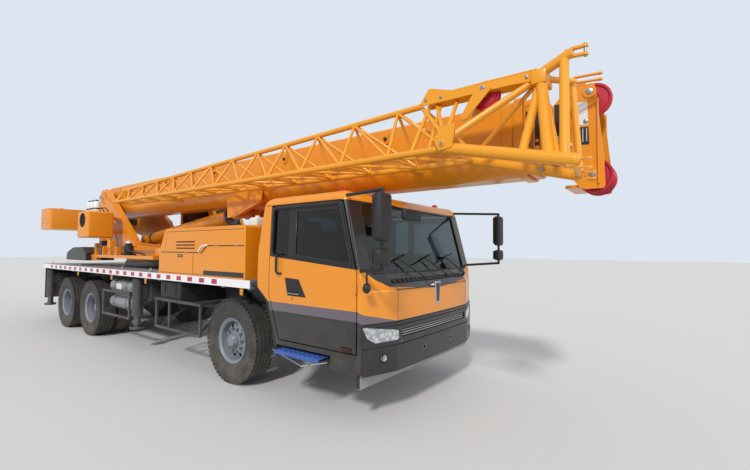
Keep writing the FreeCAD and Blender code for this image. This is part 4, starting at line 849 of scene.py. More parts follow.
class MESH_OT_crane_hood(bpy.types.Operator):
    """Build the engine hood's seams, louvres with painted shade under their slats, latches, handles
    and hinges
    """
    bl_idname = "mesh.crane_hood"
    bl_label = "Engine hood"

    def execute(self, context):
        dark = Piece("hood_gaps", "black_abs", "carrier", "amber_paint")
        skin = Piece("hood_panels", "amber_enamel", "carrier", "amber_paint")
        fittings = Piece("hood_fittings", "zinc_steel", "carrier", "steel")
        face = -HALF
        # the doors' top edge steps up towards the cab, and the upper panel follows it
        dark.plate([(0.256, 1.339), (2.381, 1.339), (2.391, 1.941), (0.465, 1.941), (0.385, 1.652),
            (0.256, 1.64)], 1, face - 0.002, face + 0.0005)
        for outline in ([(0.262, 1.345), (1.197, 1.345), (1.197, 1.634), (0.262, 1.634)], [(1.209,
                1.345), (2.375, 1.345), (2.375, 1.726), (1.545, 1.726), (1.425, 1.634), (1.209,
                1.634)], [(0.396, 1.646), (1.418, 1.646), (1.538, 1.738), (2.385, 1.738), (2.385,
                1.935), (0.475, 1.935)]):
            skin.plate(outline, 1, face - 0.006, face + 0.001, 0.0025)
        for number in range(3):
            # black strips under the louvre slats: painted shade in the louvres' openings
            z = 1.69 + number * 0.045
            dark.box((0.74, face - 0.0075, z), (1.24, face - 0.004, z + 0.02), 0)
            skin.box((0.735, face - 0.02, z + 0.016), (1.245, face - 0.004, z + 0.028), 0.002, ("X",
                -20))
        dark.box((0.79, face - 0.0075, 1.571), (0.93, face - 0.005, 1.611), 0.001)
        fittings.box((0.81, face - 0.012, 1.58), (0.91, face - 0.007, 1.602), 0.002)
        pull = Piece("hood_grab_handles", "blank_plate", "carrier", "steel")
        pull.pipe([(1.395, face - 0.004, 1.64), (1.415, face - 0.045, 1.655), (1.47, face - 0.05,
            1.712), (1.53, face - 0.045, 1.735), (1.56, face - 0.004, 1.74)],
            0.012).mirrored().done()
        for x, z in ((0.45, 1.64), (1.05, 1.64), (1.78, 1.732), (2.22, 1.732)):
            fittings.rod((x - 0.05, face - 0.006, z), (x + 0.05, face - 0.006, z), 0.008, 12)
        jar = Piece("hood_coolant_jar", "blank_plate", "carrier", "tank_grey")
        jar.box((2.06, -0.98, 1.985), (2.22, -0.82, 2.105), 0.025, segments=3)
        jar.rod((2.14, -0.9, 2.1), (2.14, -0.9, 2.13), 0.03, 20, bevel=0.004)
        jar.done()
        skin.box((2.372, face - 0.012, 1.33), (2.402, face + 0.001, 1.975), 0.004)
        for y in (-0.9, -0.3, 0.3, 0.9):
            skin.box((0.52, y - 0.02, 1.984), (2.36, y + 0.02, 1.995), 0.004)
        band = Piece("hood_dark_bands", "skirt_enamel", "carrier", "amber_paint")
        band.box((1.474, face - 0.0078, 1.348), (2.372, face - 0.005, 1.405), 0.001)
        for piece in (dark, skin, fittings, band):
            piece.mirrored().done()
        exhaust = Piece("hood_intake_grille", "black_abs", "carrier", "black_plastic")
        for number in range(14):
            y = -0.975 + number * 0.15
            exhaust.box((0.245, y - 0.06, 1.7), (0.262, y + 0.06, 1.712), 0.001)
        for z in (1.4, 1.44, 1.48, 1.52, 1.56, 1.6):
            exhaust.box((0.208, -1.0, z), (0.222, 1.0, z + 0.018), 0.002, ("Y", 25))
        exhaust.done()
        return {"FINISHED"}


class MESH_OT_crane_tanks(bpy.types.Operator):
    """Build the tanks' bands and taps, the battery box's lid and the side guards' fittings"""
    bl_idname = "mesh.crane_tanks"
    bl_label = "Tanks and boxes"

    def execute(self, context):
        bands = Piece("tank_bands", "zinc_steel", "carrier", "tank_grey")
        ends = Piece("tank_ends", "tank_enamel", "carrier", "tank_grey")
        for z in (0.72, 1.01):
            for x in (-1.72, -1.24):
                bands.turned([(0.1255, -0.02), (0.129, -0.02), (0.129, 0.02), (0.1255, 0.02)], 0,
                    (x, -1.01, z), 32)
            for x, out in ((-1.9, -1), (-1.05, 1)):
                ends.turned([(0.125, 0.0), (0.12, 0.022 * out), (0.09, 0.04 * out), (0.045,
                    0.05 * out), (0.0, 0.052 * out), (0.0, 0.0)], 0, (x, -1.01, z), 32)
            bands.rod((-1.2, -1.13, z), (-1.2, -1.155, z), 0.012, 8)
            bands.rod((-1.45, -1.01, z - 0.124), (-1.45, -1.01, z - 0.15), 0.012, 8)
        label = Piece("tank_blank_label", "blank_plate", "carrier", "tank_grey")
        label.plate([(-1.62, 0.96), (-1.4, 0.96), (-1.4, 1.06), (-1.62, 1.06)], 1, -1.1385, -1.1345,
            0.0005).done()
        lid = Piece("battery_box_lid", "black_abs", "carrier", "tank_grey")
        lid.box((0.166, -1.19, 0.9), (0.774, -0.452, 1.196), 0.012, segments=2)
        for x in (0.3, 0.62):
            lid.box((x - 0.02, -1.2, 1.02), (x + 0.02, -1.188, 1.16), 0.003)
        lid.done()
        fuel = Piece("fuel_tank_straps", "zinc_steel", "carrier", "tank_grey")
        for x in (-1.75, -1.25):
            fuel.box((x - 0.025, 1.198, 0.638), (x + 0.025, 1.204, 1.152), 0.001)
            fuel.box((x - 0.025, 0.55, 0.634), (x + 0.025, 1.204, 0.64), 0.001)
        fuel.rod((-1.5, 1.19, 1.08), (-1.5, 1.235, 1.08), 0.045, 20, bevel=0.004)
        fuel.box((-1.09, 1.199, 0.72), (-1.075, 1.206, 1.08), 0.001)
        fuel.done()
        bolts = Piece("guard_bolts", "zinc_steel", "carrier", "steel")
        for x in (0.1, 0.5, 1.35, -1.98, -0.87):
            for z in (0.51, 0.925):
                bolts.rod((x, -1.23, z), (x, -1.238, z), 0.009, 6)
        bolts.mirrored().done()
        ends.done()
        bands.done()
        return {"FINISHED"}


# Driver's cab: shell, doors, glass, bumper, lamps and mirrors

CAB_BACK = 2.62
CAB_FRONT = 4.3
CAB_WALL = 0.06
ROOF = 2.29
BELT = 1.48      # where the cab's sides start to lean in
LEAN = 0.037     # how far they lean for each metre up
HINGE = (4.112, 1.262)
CAB_HEIGHTS = (0.52, 0.985, 1.275, 1.292, 1.305, 1.36, 1.43, 1.48, 1.7, 1.95, 2.18)


def toward_screen(z):
    """0 on the nose, 1 from the windscreen's foot up, with a soft edge between."""
    table = ((1.275, 0.0), (1.292, 0.03), (1.305, 0.11), (1.43, 1.0))
    if z <= table[0][0]:
        return 0.0
    for (low, near), (high, far) in zip(table, table[1:]):
        if z <= high:
            return near + (far - near) * (z - low) / (high - low)
    return 1.0


def cab_outline(z, inset=0.0):
    """The cab from above at one height, all its faces moved in by inset."""
    share = toward_screen(z)
    front = CAB_FRONT - 0.135 * share - max(0.0, z - 1.43) * 0.25 - inset
    side = HALF - inset - max(0.0, z - BELT) * LEAN
    back = CAB_BACK + inset + max(0.0, z - 1.7) * 0.17
    corner = front + inset / 2 - 0.15 + 0.128 * share
    cheek = front - 0.015 + 0.006 * share
    nearer = [(back, -side, 0.012), (corner, -side, 0.095 - 0.055 * share - inset / 3), (cheek,
        -0.82 + inset / 2, 0.15 - 0.05 * share), (front - 0.004, -0.41)]
    return rounded(nearer + [(front, 0.0)] + [(point[0], -point[1],
        *point[2:]) for point in nearer[::-1]])


def cab_hull(inset, low):
    """The whole cab as one closed form, with its roof's edge rounded."""
    rings = [[(x, y, z) for x, y in cab_outline(z, inset)] for z in (low,) + CAB_HEIGHTS[1:]]
    radius = ROOF - CAB_HEIGHTS[-1] - inset
    for step in range(1, 7):
        turn = math.radians(15 * step)
        z = CAB_HEIGHTS[-1] + radius * math.sin(turn)
        rings.append([(x, y, z) for x, y in cab_outline(z, inset + radius * (1 - math.cos(turn)))])
    return Piece().lofted(rings)


def door_edge(gap):
    return [(3.015 + gap, 0.7 + gap), (4.12 - gap, 0.7 + gap), (4.12 - gap, 1.47 - gap / 2),
        (3.92 - gap, 2.19 - gap, 0.05), (2.83 + gap, 2.19 - gap, 0.06), (2.83 + gap, 1.19)]


SIDE_WINDOW = [(2.885, 1.64, 0.04), (4.035, 1.535, 0.03), (3.87, 2.13, 0.04),
               (2.885, 2.13, 0.04)]
WINDSCREEN = [(-1.05, 1.46, 0.06), (-1.02, 2.165, 0.08), (1.02, 2.165, 0.08), (1.05, 1.46, 0.06)]
REAR_WINDOW = [(-0.7, 1.73, 0.06), (-0.7, 2.12, 0.06), (0.7, 2.12, 0.06), (0.7, 1.73, 0.06)]


def arch_edge(out):
    return [(2.55, 1.31 + out), (2.83 + out, 1.105 + out / 2), (2.96 + out, 0.69), (3.0 + out,
        0.45), (2.55, 0.45)]


class MESH_OT_crane_cab_body(bpy.types.Operator):
    """Build the driver's cab: hollow shell, wheel arches, floor, two doors and all panes"""
    bl_idname = "mesh.crane_cab_body"
    bl_label = "Cab body"

    def execute(self, context):
        wide = (-1.35, 1.35)
        inner = cab_hull(CAB_WALL, 0.48)
        hollow = cab_hull(0.0, 0.52).carve("DIFFERENCE", inner)
        skin = cab_hull(0.02, 0.9).carve("DIFFERENCE", cab_hull(0.028, 0.8))
        arch = form(arch_edge(0.0), 1, *wide)
        floor = Piece().box((2.5, -1.3, 0.9), (4.1, 1.3, 0.96), 0)
        floor.carve("UNION", Piece().box((4.1, -1.3, 0.9), (4.16, 1.3, 1.045), 0),
            Piece().box((4.16, -1.3, 0.985), (4.4, 1.3, 1.045), 0))
        floor.carve("INTERSECT", inner).carve("DIFFERENCE", arch)
        walls = cab_hull(0.0, 0.52).carve("INTERSECT", form(arch_edge(CAB_WALL), 1, *wide))
        shell = hollow.again("cab_body", "cab_enamel", "carrier", "amber_paint")
        shell.carve("UNION", walls).carve("DIFFERENCE", arch, Piece().box((2.5, -0.47, 0.4), (4.5,
            0.47, 0.9), 0), Piece().box((4.16, -1.4, 0.4), (4.6, 1.4, 0.985), 0), Piece().box((2.98,
            -1.4, 0.4), (3.79, 1.4, 0.65), 0), form(WINDSCREEN, 0, 3.5, 4.6), form(REAR_WINDOW, 0,
            2.5, 2.8))
        for side, word in ((-1, "right"), (1, "left")):
            span = sorted((1.15 * side, 1.35 * side))
            window = form(SIDE_WINDOW, 1, *span)
            shell.carve("DIFFERENCE", form(door_edge(0.0), 1, *span))
            door = hollow.again("cab_door_" + word, "cab_enamel", "driver_door_" + word,
            "amber_paint")
            door.carve("INTERSECT", form(door_edge(0.012), 1, *span))
            door.carve("DIFFERENCE", window)
            pane = skin.again("cab_door_pane_" + word, "tinted_glass", "driver_door_" + word,
            "glass")
            pane.carve("INTERSECT", window)
            x, y = HINGE[0], HINGE[1] * side
            for z in (0.812, 1.292):
                door.rod((x, y, z + 0.0005), (x, y, z + 0.0755), 0.0115, 16)
                door.box((x - 0.038, min(y - 0.013 * side, y), z + 0.0005), (x,
                    max(y - 0.013 * side, y), z + 0.0755), 0.001)
                for low in (z - 0.012, z + 0.076):
                    shell.rod((x, y, low), (x, y, low + 0.012), 0.0115, 16)
            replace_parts(door.done(30, even=True), "door_" + word)
            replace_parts(pane.done(30), "door_glass_" + word)
        shell.carve("UNION", floor)
        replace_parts(shell.done(30, even=True), "cab_shell")
        panes = skin.again("cab_windscreen", "screen_glass", "carrier", "glass")
        panes.carve("INTERSECT", form(WINDSCREEN, 0, 3.5, 4.6))
        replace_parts(panes.done(30), "cab_glass")
        skin.again("cab_rear_pane", "tinted_glass", "carrier", "glass").carve("INTERSECT",
            form(REAR_WINDOW, 0, 2.5, 2.8)).done(30)
        return {"FINISHED"}


class MESH_OT_crane_bumper(bpy.types.Operator):
    """Build the front bumper with its grille, recesses, lamps and underrun lip"""
    bl_idname = "mesh.crane_bumper"
    bl_label = "Bumper and lamps"

    def ring(self, outer, inner, low, high):
        """The nose's band between two offsets and two heights, ahead of the doors."""
        band = Piece().plate(cab_outline(0.9, outer), 2, low, high)
        band.carve("DIFFERENCE", Piece().plate(cab_outline(0.9, inner), 2, low - 0.01, high + 0.01))
        return band.carve("INTERSECT", Piece().box((4.165, -1.4, low - 0.02), (4.5, 1.4,
            high + 0.02), 0))

    def openings(self, gap):
        """The headlamps' and fog lamps' openings, both sides, made smaller by gap."""
        made = []
        for side in (1, -1):
            outline = [(0.785 + gap, 0.8 + gap, 0.03), (0.79 + gap, 0.9 - gap, 0.02), (1.225 - gap,
                0.965 - gap, 0.012), (1.165 - gap, 0.845 + gap, 0.03), (1.075, 0.795 + gap, 0.03)]
            outline = [(across * side, up, radius) for across, up, radius in outline]
            made.append(form(outline, 0, 4.1, 4.5))
            made.append(Piece().rod((4.1, 0.98 * side, 0.645), (4.5, 0.98 * side, 0.645),
                0.038 - gap, 28))
        return made

    def execute(self, context):
        shape = self.ring(-0.012, 0.12, 0.5, 0.98)
        whole = shape.again("cab_bumper", "skirt_enamel", "carrier", "frame_paint")
        recess = self.ring(-0.05, 0.06, 0.55, 0.975)
        for hole in self.openings(0.0):
            whole.carve("DIFFERENCE", recess.again().carve("INTERSECT", hole))
        whole.carve("DIFFERENCE", self.ring(-0.05, 0.03, 0.82, 0.9).carve("INTERSECT",
            Piece().box((4.0, -0.74, 0.8), (4.6, 0.74, 0.95), 0)))
        for low in (0.75, 0.94):
            whole.carve("DIFFERENCE", self.ring(-0.05, 0.002, low, low + 0.012))
        for side in (1, -1):
            whole.carve("DIFFERENCE", Piece().rod((4.2, 0.31 * side, 0.645), (4.5, 0.31 * side,
                0.645), 0.022, 20))
        whole.box((4.06, -1.18, 0.37), (4.11, 1.18, 0.498), 0.004)
        for side in (1, -1):
            y = 0.415 * side
            whole.box((4.05, y - 0.035, 0.49), (4.11, y + 0.035, 0.62), 0.003)
            whole.box((4.1, y - 0.035, 0.52), (4.22, y + 0.035, 0.55), 0.003)
        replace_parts(whole.done(30, even=True), "front_bumper")
        fills = self.ring(-0.007, 0.055, 0.55, 0.975)
        lamps = Piece("cab_lamps", "lamp_lens", "carrier", "lamp")
        for opening in self.openings(0.003):
            part = fills.again().carve("INTERSECT", opening)
            data = bpy.data.meshes.new("working")
            part.mesh.to_mesh(data)
            lamps.mesh.from_mesh(data)
            bpy.data.meshes.remove(data)
        for side in (1, -1):
            lamps.rod((3.72, 1.0 * side, ROOF - 0.005), (3.72, 1.0 * side, ROOF + 0.045), 0.038, 24)
            lamps.box((-5.625, min(0.8 * side, 1.14 * side), 0.64), (-5.6, max(0.8 * side,
                1.14 * side), 0.76), 0.006)
        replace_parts(lamps.done(30), "lamps")
        return {"FINISHED"}


class MESH_OT_crane_mirrors(bpy.types.Operator):
    """Build the door mirrors on their frames, the front mirror and the kerb mirror"""
    bl_idname = "mesh.crane_mirrors"
    bl_label = "Mirrors"

    def execute(self, context):
        made = Piece("cab_mirrors", "black_abs", "carrier", "black_plastic")
        foot, top = (4.52, -1.4, 1.52), (4.52, -1.4, 2.21)
        made.pipe([(3.75, -1.12, 2.235), top, foot, (4.085, -1.185, 1.485)], 0.016, 14)
        for low, high in ((1.765, 2.18), (1.56, 1.705)):
            made.box((4.477, -1.498, low), (4.563, -1.302, high), 0.035, segments=4)
        made.mirrored()
        made.pipe([(3.9, -0.56, 2.21), (4.08, -0.56, 2.16), (4.29, -0.56, 2.09)], 0.01, 10)
        made.box((4.268, -0.735, 2.0), (4.328, -0.4, 2.112), 0.025, segments=4)
        made.rod((4.257, -1.275, 1.505), (4.257, -1.275, 1.365), 0.01, 10)
        made.ball((4.257, -1.275, 1.34), 0.042, (0.9, 1.0, 1.15), 20)
        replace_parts(made.done(40), "mirrors")
        return {"FINISHED"}


# Driver's cab


def hug(piece):
    """Lean what stands above the belt in with the cab's sides."""
    for vert in piece.mesh.verts:
        inward = max(0.0, vert.co.z - BELT) * LEAN
        vert.co.y += inward if vert.co.y < 0 else -inward
    return piece


def screen_x(z, y=0.0):
    """Where the windscreen's outer face lies along X at a height and place across."""
    return 4.158 - (z - 1.43) * 0.25 - 0.02 * abs(y) / HALF


class MESH_OT_crane_cab_sides(bpy.types.Operator):
    """Build the cab doors' window rubbers, handles, grab bars, indicators and mirror glasses"""
    bl_idname = "mesh.crane_cab_sides"
    bl_label = "Cab sides"

    def execute(self, context):
        for side, word in ((-1, "right"), (1, "left")):
            self.door_trim(side, word)
        self.steps()
        self.mirror_glasses()
        return {"FINISHED"}

    def door_trim(self, side, word):
        body = "driver_door_" + word
        face = HALF * side

        def out(proud):
            return face + proud * side

        rubber = Piece("door_window_rubber_" + word, "hose_rubber", body, "black_plastic")
        ring = [(2.9, 1.625), (4.038, 1.524), (4.048, 1.545), (3.888, 2.125), (3.86, 2.146), (2.905,
            2.146), (2.876, 2.115), (2.876, 1.655)]
        points = [(x, out(0.001), z) for x, z in ring + ring[:1]]
        rubber.pipe(points, 0.011, 8)
        hug(rubber).done()
        bars = Piece("door_window_divider_" + word, "smooth_abs", body, "black_plastic")
        spread = sorted((out(-0.0195), out(-0.012)))
        bars.plate([(3.13, 1.6), (3.25, 1.59), (3.25, 2.14), (3.13, 2.14)], 1, *spread, 0.003)
        bars.plate([(3.25, 1.59), (4.03, 1.52), (4.02, 1.565), (3.25, 1.64)], 1, *spread, 0.003)
        bars.plate([(4.01, 1.55), (4.036, 1.55), (3.88, 2.11), (3.85, 2.11)], 1, *spread, 0.003)
        bars.plate([(3.25, 2.095), (3.865, 2.095), (3.855, 2.14), (3.25, 2.14)], 1, *spread, 0.003)
        hug(bars).done()
        cup = Piece("door_handle_cup_" + word, "black_abs", body, "black_plastic")
        spread = sorted((out(-0.001), out(0.0035)))
        cup.plate([(3.104, 1.384), (3.323, 1.374), (3.438, 1.19), (3.152, 1.195)], 1, *spread,
            0.003, 2)
        spread = sorted((out(0.0035), out(0.006)))
        for at_z in (1.335, 1.295, 1.255):
            cup.plate([(3.135, at_z), (3.335, at_z - 0.004), (3.345, at_z - 0.016), (3.137,
                at_z - 0.012)], 1, *spread, 0.001)
        cup.done()
        grip = Piece("door_handle_" + word, "zinc_steel", body, "steel")
        grip.pipe([(3.175, out(0.002), 1.226), (3.185, out(0.022), 1.222), (3.325, out(0.022),
            1.219), (3.335, out(0.002), 1.222)], 0.008, 12)
        grip.rod((3.225, out(0.0), 1.165), (3.225, out(0.006), 1.165), 0.011, 16, bevel=0.001)
        grip.done()
        bar = Piece("door_grab_bar_" + word, "black_abs", body, "black_plastic")
        bar.pipe([(2.996, out(-0.004), 1.64), (2.996, out(0.036), 1.622), (2.996, out(0.038),
            1.452), (3.02, out(0.036), 1.428), (3.045, out(0.0), 1.424)], 0.012, 12)
        bar.done()
        lamp = Piece("side_indicator_" + word, "orange_lens", body, "lamp")
        lamp.box((3.914, min(out(-0.002), out(0.014)), 0.712), (4.059, max(out(-0.002), out(0.014)),
            0.762), 0.009, segments=3)
        lamp.done()
        hinge = Piece("door_lower_seal_" + word, "hose_rubber", body, "black_plastic")
        hinge.box((3.05, min(out(-0.03), out(-0.01)), 0.708), (4.1, max(out(-0.03), out(-0.01)),
            0.714), 0.001)
        hinge.done()

    def steps(self):
        tread = Piece("cab_step_treads", "step_enamel", "carrier", "frame_paint")
        low, high = 3.048, 3.712
        tread.box((low, -1.333, 0.609), (high, -1.128, 0.6165), 0.002)
        tread.box((low, -1.334, 0.575), (high, -1.328, 0.6165), 0.002)
        for number in range(9):
            x = low + 0.045 + number * 0.072
            for y in (-1.295, -1.235, -1.175):
                tread.rod((x, y, 0.616), (x, y, 0.6205), 0.013, 10, end_radius=0.01)
        tread.mirrored().done()
        rods = Piece("cab_step_rods", "zinc_steel", "carrier", "steel")
        rods.pipe([(2.93, -1.1, 0.6), (2.93, -1.255, 0.585), (3.6, -1.45, 0.562), (3.755, -1.26,
            0.58), (3.755, -1.1, 0.6)], 0.008, 8)
        for x in (3.1, 3.65):
            rods.rod((x, -1.32, 0.585), (x, -1.41, 0.567), 0.007, 8)
        rods.rod((2.93, -1.1, 0.6), (3.755, -1.1, 0.6), 0.008, 8)
        rods.mirrored().done()
        indicator = Piece("cab_skirt_bolts", "zinc_steel", "carrier", "steel")
        for x, z in ((3.12, 0.632), (3.64, 0.632)):
            indicator.rod((x, -1.1, z - 0.012), (x, -1.1, z), 0.009, 6)
        indicator.mirrored().done()

    def mirror_glasses(self):
        glass = Piece("mirror_glasses", "mirror_silver", "carrier", "black_plastic")
        for low, high in ((1.8, 2.15), (1.582, 1.685)):
            glass.box((4.4725, -1.478, low), (4.4765, -1.322, high), 0.0015)
        glass.mirrored().done()
        rims = Piece("mirror_rims", "black_abs", "carrier", "black_plastic")
        for low, high in ((1.8, 2.15), (1.582, 1.685)):
            corners = [(4.474, -1.48, low - 0.002), (4.474, -1.32, low - 0.002), (4.474, -1.32,
                high + 0.002), (4.474, -1.48, high + 0.002)]
            rims.pipe(corners + corners[:1], 0.005, 8)
        for z in (1.64, 1.88, 2.08):
            rims.box((4.5, -1.428, z - 0.03), (4.545, -1.372, z + 0.03), 0.006)
        rims.mirrored().done()


class MESH_OT_crane_cab_front(bpy.types.Operator):
    """Build the cab's wipers, bare plate, screen seal, grille bars, lamp covers and seams"""
    bl_idname = "mesh.crane_cab_front"
    bl_label = "Cab front"

    def execute(self, context):
        seal = Piece("windscreen_seal", "hose_rubber", "carrier", "black_plastic")
        edge = [(-1.05, 1.475), (-1.035, 1.452), (0.0, 1.448), (1.035, 1.452), (1.05, 1.475),
            (1.022, 2.13), (0.99, 2.172), (-0.99, 2.172), (-1.022, 2.13)]
        points = [(screen_x(z, y) + 0.001, y, z) for y, z in edge + edge[:1]]
        seal.pipe(points, 0.011, 8).done()
        arms = Piece("wiper_arms", "black_abs", "carrier", "black_plastic")
        blades = Piece("wiper_blades", "hose_rubber", "carrier", "black_plastic")
        for y, reach in ((-0.18, 0.4), (0.39, 0.4), (0.89, 0.38)):
            foot = Vector((4.222, y, 1.385))
            tip = Vector((screen_x(1.6) + 0.03, y - reach, 1.6))
            arms.rod(foot - Vector((0.02, 0, 0.02)), foot + Vector((0.014, 0, 0.014)), 0.02, 16,
                end_radius=0.014)
            arms.bar(foot + Vector((0.01, 0, 0.01)), tip, 0.012, 0.018, 0.002)
            low = Vector((screen_x(1.53) + 0.012, y - reach - 0.24, 1.53))
            high = Vector((screen_x(1.655) + 0.012, y - reach + 0.24, 1.655))
            blades.bar(low, high, 0.007, 0.014, 0.001)
            for share in (0.22, 0.78):
                spot = low.lerp(high, share)
                arms.bar(tip, spot + Vector((0.006, 0, 0)), 0.008, 0.008)
        arms.done()
        blades.done()
        plate = Piece("cab_blank_plate_frame", "chrome_rod", "carrier", "steel")
        plate.plate([(-0.066, 1.338), (0.066, 1.338), (0.047, 1.088), (-0.047, 1.088)], 0, 4.272,
            4.308, 0.006, 2)
        plate.done()
        plate = Piece("cab_blank_plate", "smooth_abs", "carrier", "black_plastic")
        plate.plate([(-0.046, 1.318), (0.046, 1.318), (0.031, 1.108), (-0.031, 1.108)], 0, 4.306,
            4.3105, 0.002)
        plate.done()
        seams = Piece("cab_nose_seams", "hose_rubber", "carrier", "black_plastic")
        for side in (-1, 1):
            seams.box((4.262, 0.799 * side - 0.002, 0.988), (4.2866, 0.799 * side + 0.002, 1.296),
            0)
            seams.bar((4.285, 0.799 * side, 1.294), (4.262, 0.8 * side, 1.318), 0.004)
        seams.done()
        cowl = Piece("cab_cowl_lip", "smooth_abs", "carrier", "black_plastic")
        line = [(4.292, -0.8, 1.298), (4.3, -0.4, 1.29), (4.304, 0.0, 1.285), (4.3, 0.4, 1.29),
            (4.292, 0.8, 1.298)]
        cowl.pipe(line, 0.005, 8).done()
        vents = Piece("cab_cowl_vents", "black_abs", "carrier", "black_plastic")
        for number in range(18):
            y = -0.765 + number * 0.09
            x = 4.222 - 0.02 * abs(y) / HALF
            vents.box((x - 0.022, y - 0.034, 1.372), (x + 0.03, y + 0.034, 1.38), 0.001, ("Y", 45))
        vents.done()
        grille = Piece("bumper_grille_bars", "tank_enamel", "carrier", "black_plastic")
        for z in (0.832, 0.856, 0.88):
            for side in (-1, 1):
                grille.bar((4.293, 0.0, z), (4.28, 0.73 * side, z), 0.01, 0.012, 0.002)
        for z in (0.781,):
            for side in (-1, 1):
                grille.bar((4.3085, 0.0, z), (4.296, 0.76 * side, z), 0.006, 0.01, 0.001)
        grille.done()
        lip = Piece("underrun_lip_face", "tank_enamel", "carrier", "frame_paint")
        lip.box((4.108, -1.182, 0.368), (4.1135, 1.182, 0.498), 0.002)
        lip.box((4.058, -1.182, 0.366), (4.1135, 1.182, 0.371), 0.002)
        lip.done()
        covers = Piece("lamp_rims", "black_abs", "carrier", "lamp")
        for side in (-1, 1):
            covers.turned([(0.036, 0.0), (0.046, 0.0), (0.046, 0.006), (0.04, 0.01), (0.036,
                0.006)], 0, (4.247, 0.98 * side, 0.645), 32)
        covers.done()
        domes = Piece("roof_beacons", "orange_lens", "carrier", "lamp")
        for side in (-1, 1):
            domes.turned([(0.0, 0.046), (0.0, 0.062), (0.03, 0.056), (0.041, 0.044), (0.043, 0.002),
                (0.039, 0.002)], 2, (3.72, 1.0 * side, 2.292), 24)
        domes.done()
        holes = Piece("bumper_tow_rings", "zinc_steel", "carrier", "steel")
        for side in (-1, 1):
            holes.turned([(0.022, 0.0), (0.028, 0.0), (0.028, 0.004), (0.022, 0.004)], 0, (4.3065,
                0.31 * side, 0.645), 24)
        holes.done()
        roof = Piece("cab_roof_gutters", "amber_enamel", "carrier", "amber_paint")
        gutter = [(2.735, -1.226, 2.196), (3.88, -1.226, 2.196), (3.9, -1.222, 2.192)]
        roof.pipe(gutter, 0.009, 8).mirrored().done()
        return {"FINISHED"}


# Side guards, mudguards and steps

GUARD_RAILS = ((0.49, 0.53), (0.905, 0.945))
GUARD_RUNS = ((0.08, 1.37, (0.08, 0.48, 1.33), (0.2, 1.21)),
              (-2.0, -0.85, (-2.0, -0.89), (-2.0, -1.04)))


class MESH_OT_crane_guards(bpy.types.Operator):
    """Build the side guards on their posts and arms, the front mudguards and the step blocks"""
    bl_idname = "mesh.crane_guards"
    bl_label = "Side guards"

    def execute(self, context):
        made = Piece("side_guard_rails", "chassis_enamel", "carrier", "frame_paint")
        for back, front, posts, arms in GUARD_RUNS:
            for low, high in GUARD_RAILS:
                made.box((back, -1.23, low), (front, -1.19, high), 0.005, segments=2)
            for x in posts:
                made.box((x, -1.225, 0.528), (x + 0.04, -1.195, 0.907), 0.004)
            for x in arms:
                made.box((x, -1.2, 0.905), (x + 0.04, -0.44, 0.94), 0.004)
                made.bar((x + 0.02, -1.195, 0.51), (x + 0.02, -0.6, 0.9), 0.03, 0.03)
        made.box((2.88, -1.1, 0.82), (2.93, -0.44, 0.87), 0.004)
        made.box((2.62, -1.1, 0.98), (2.67, -0.44, 1.03), 0.004)
        made.box((3.05, -1.33, 0.58), (3.71, -1.13, 0.592), 0.003)
        for x in (3.11, 3.61):
            made.box((x, -1.3, 0.55), (x + 0.04, -0.44, 0.582), 0.004)
        made.mirrored()
        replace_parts(made.done(30), "side_guards")
        guard = Piece("front_mudguards", "black_abs", "carrier", "black_plastic")
        guard.plate([(2.498, 1.29), (2.6, 1.29), (2.74, 1.19), (2.818, 1.097), (2.9, 0.88), (2.948,
            0.69), (2.978, 0.52), (2.953, 0.52), (2.923, 0.69), (2.876, 0.87), (2.793, 1.085),
            (2.72, 1.17), (2.592, 1.265), (2.498, 1.265)], 1, -1.25, -0.8, 0.003)
        guard.mirrored()
        guard.done(30)
        return {"FINISHED"}


# Turntable, machinery, winches and counterweight


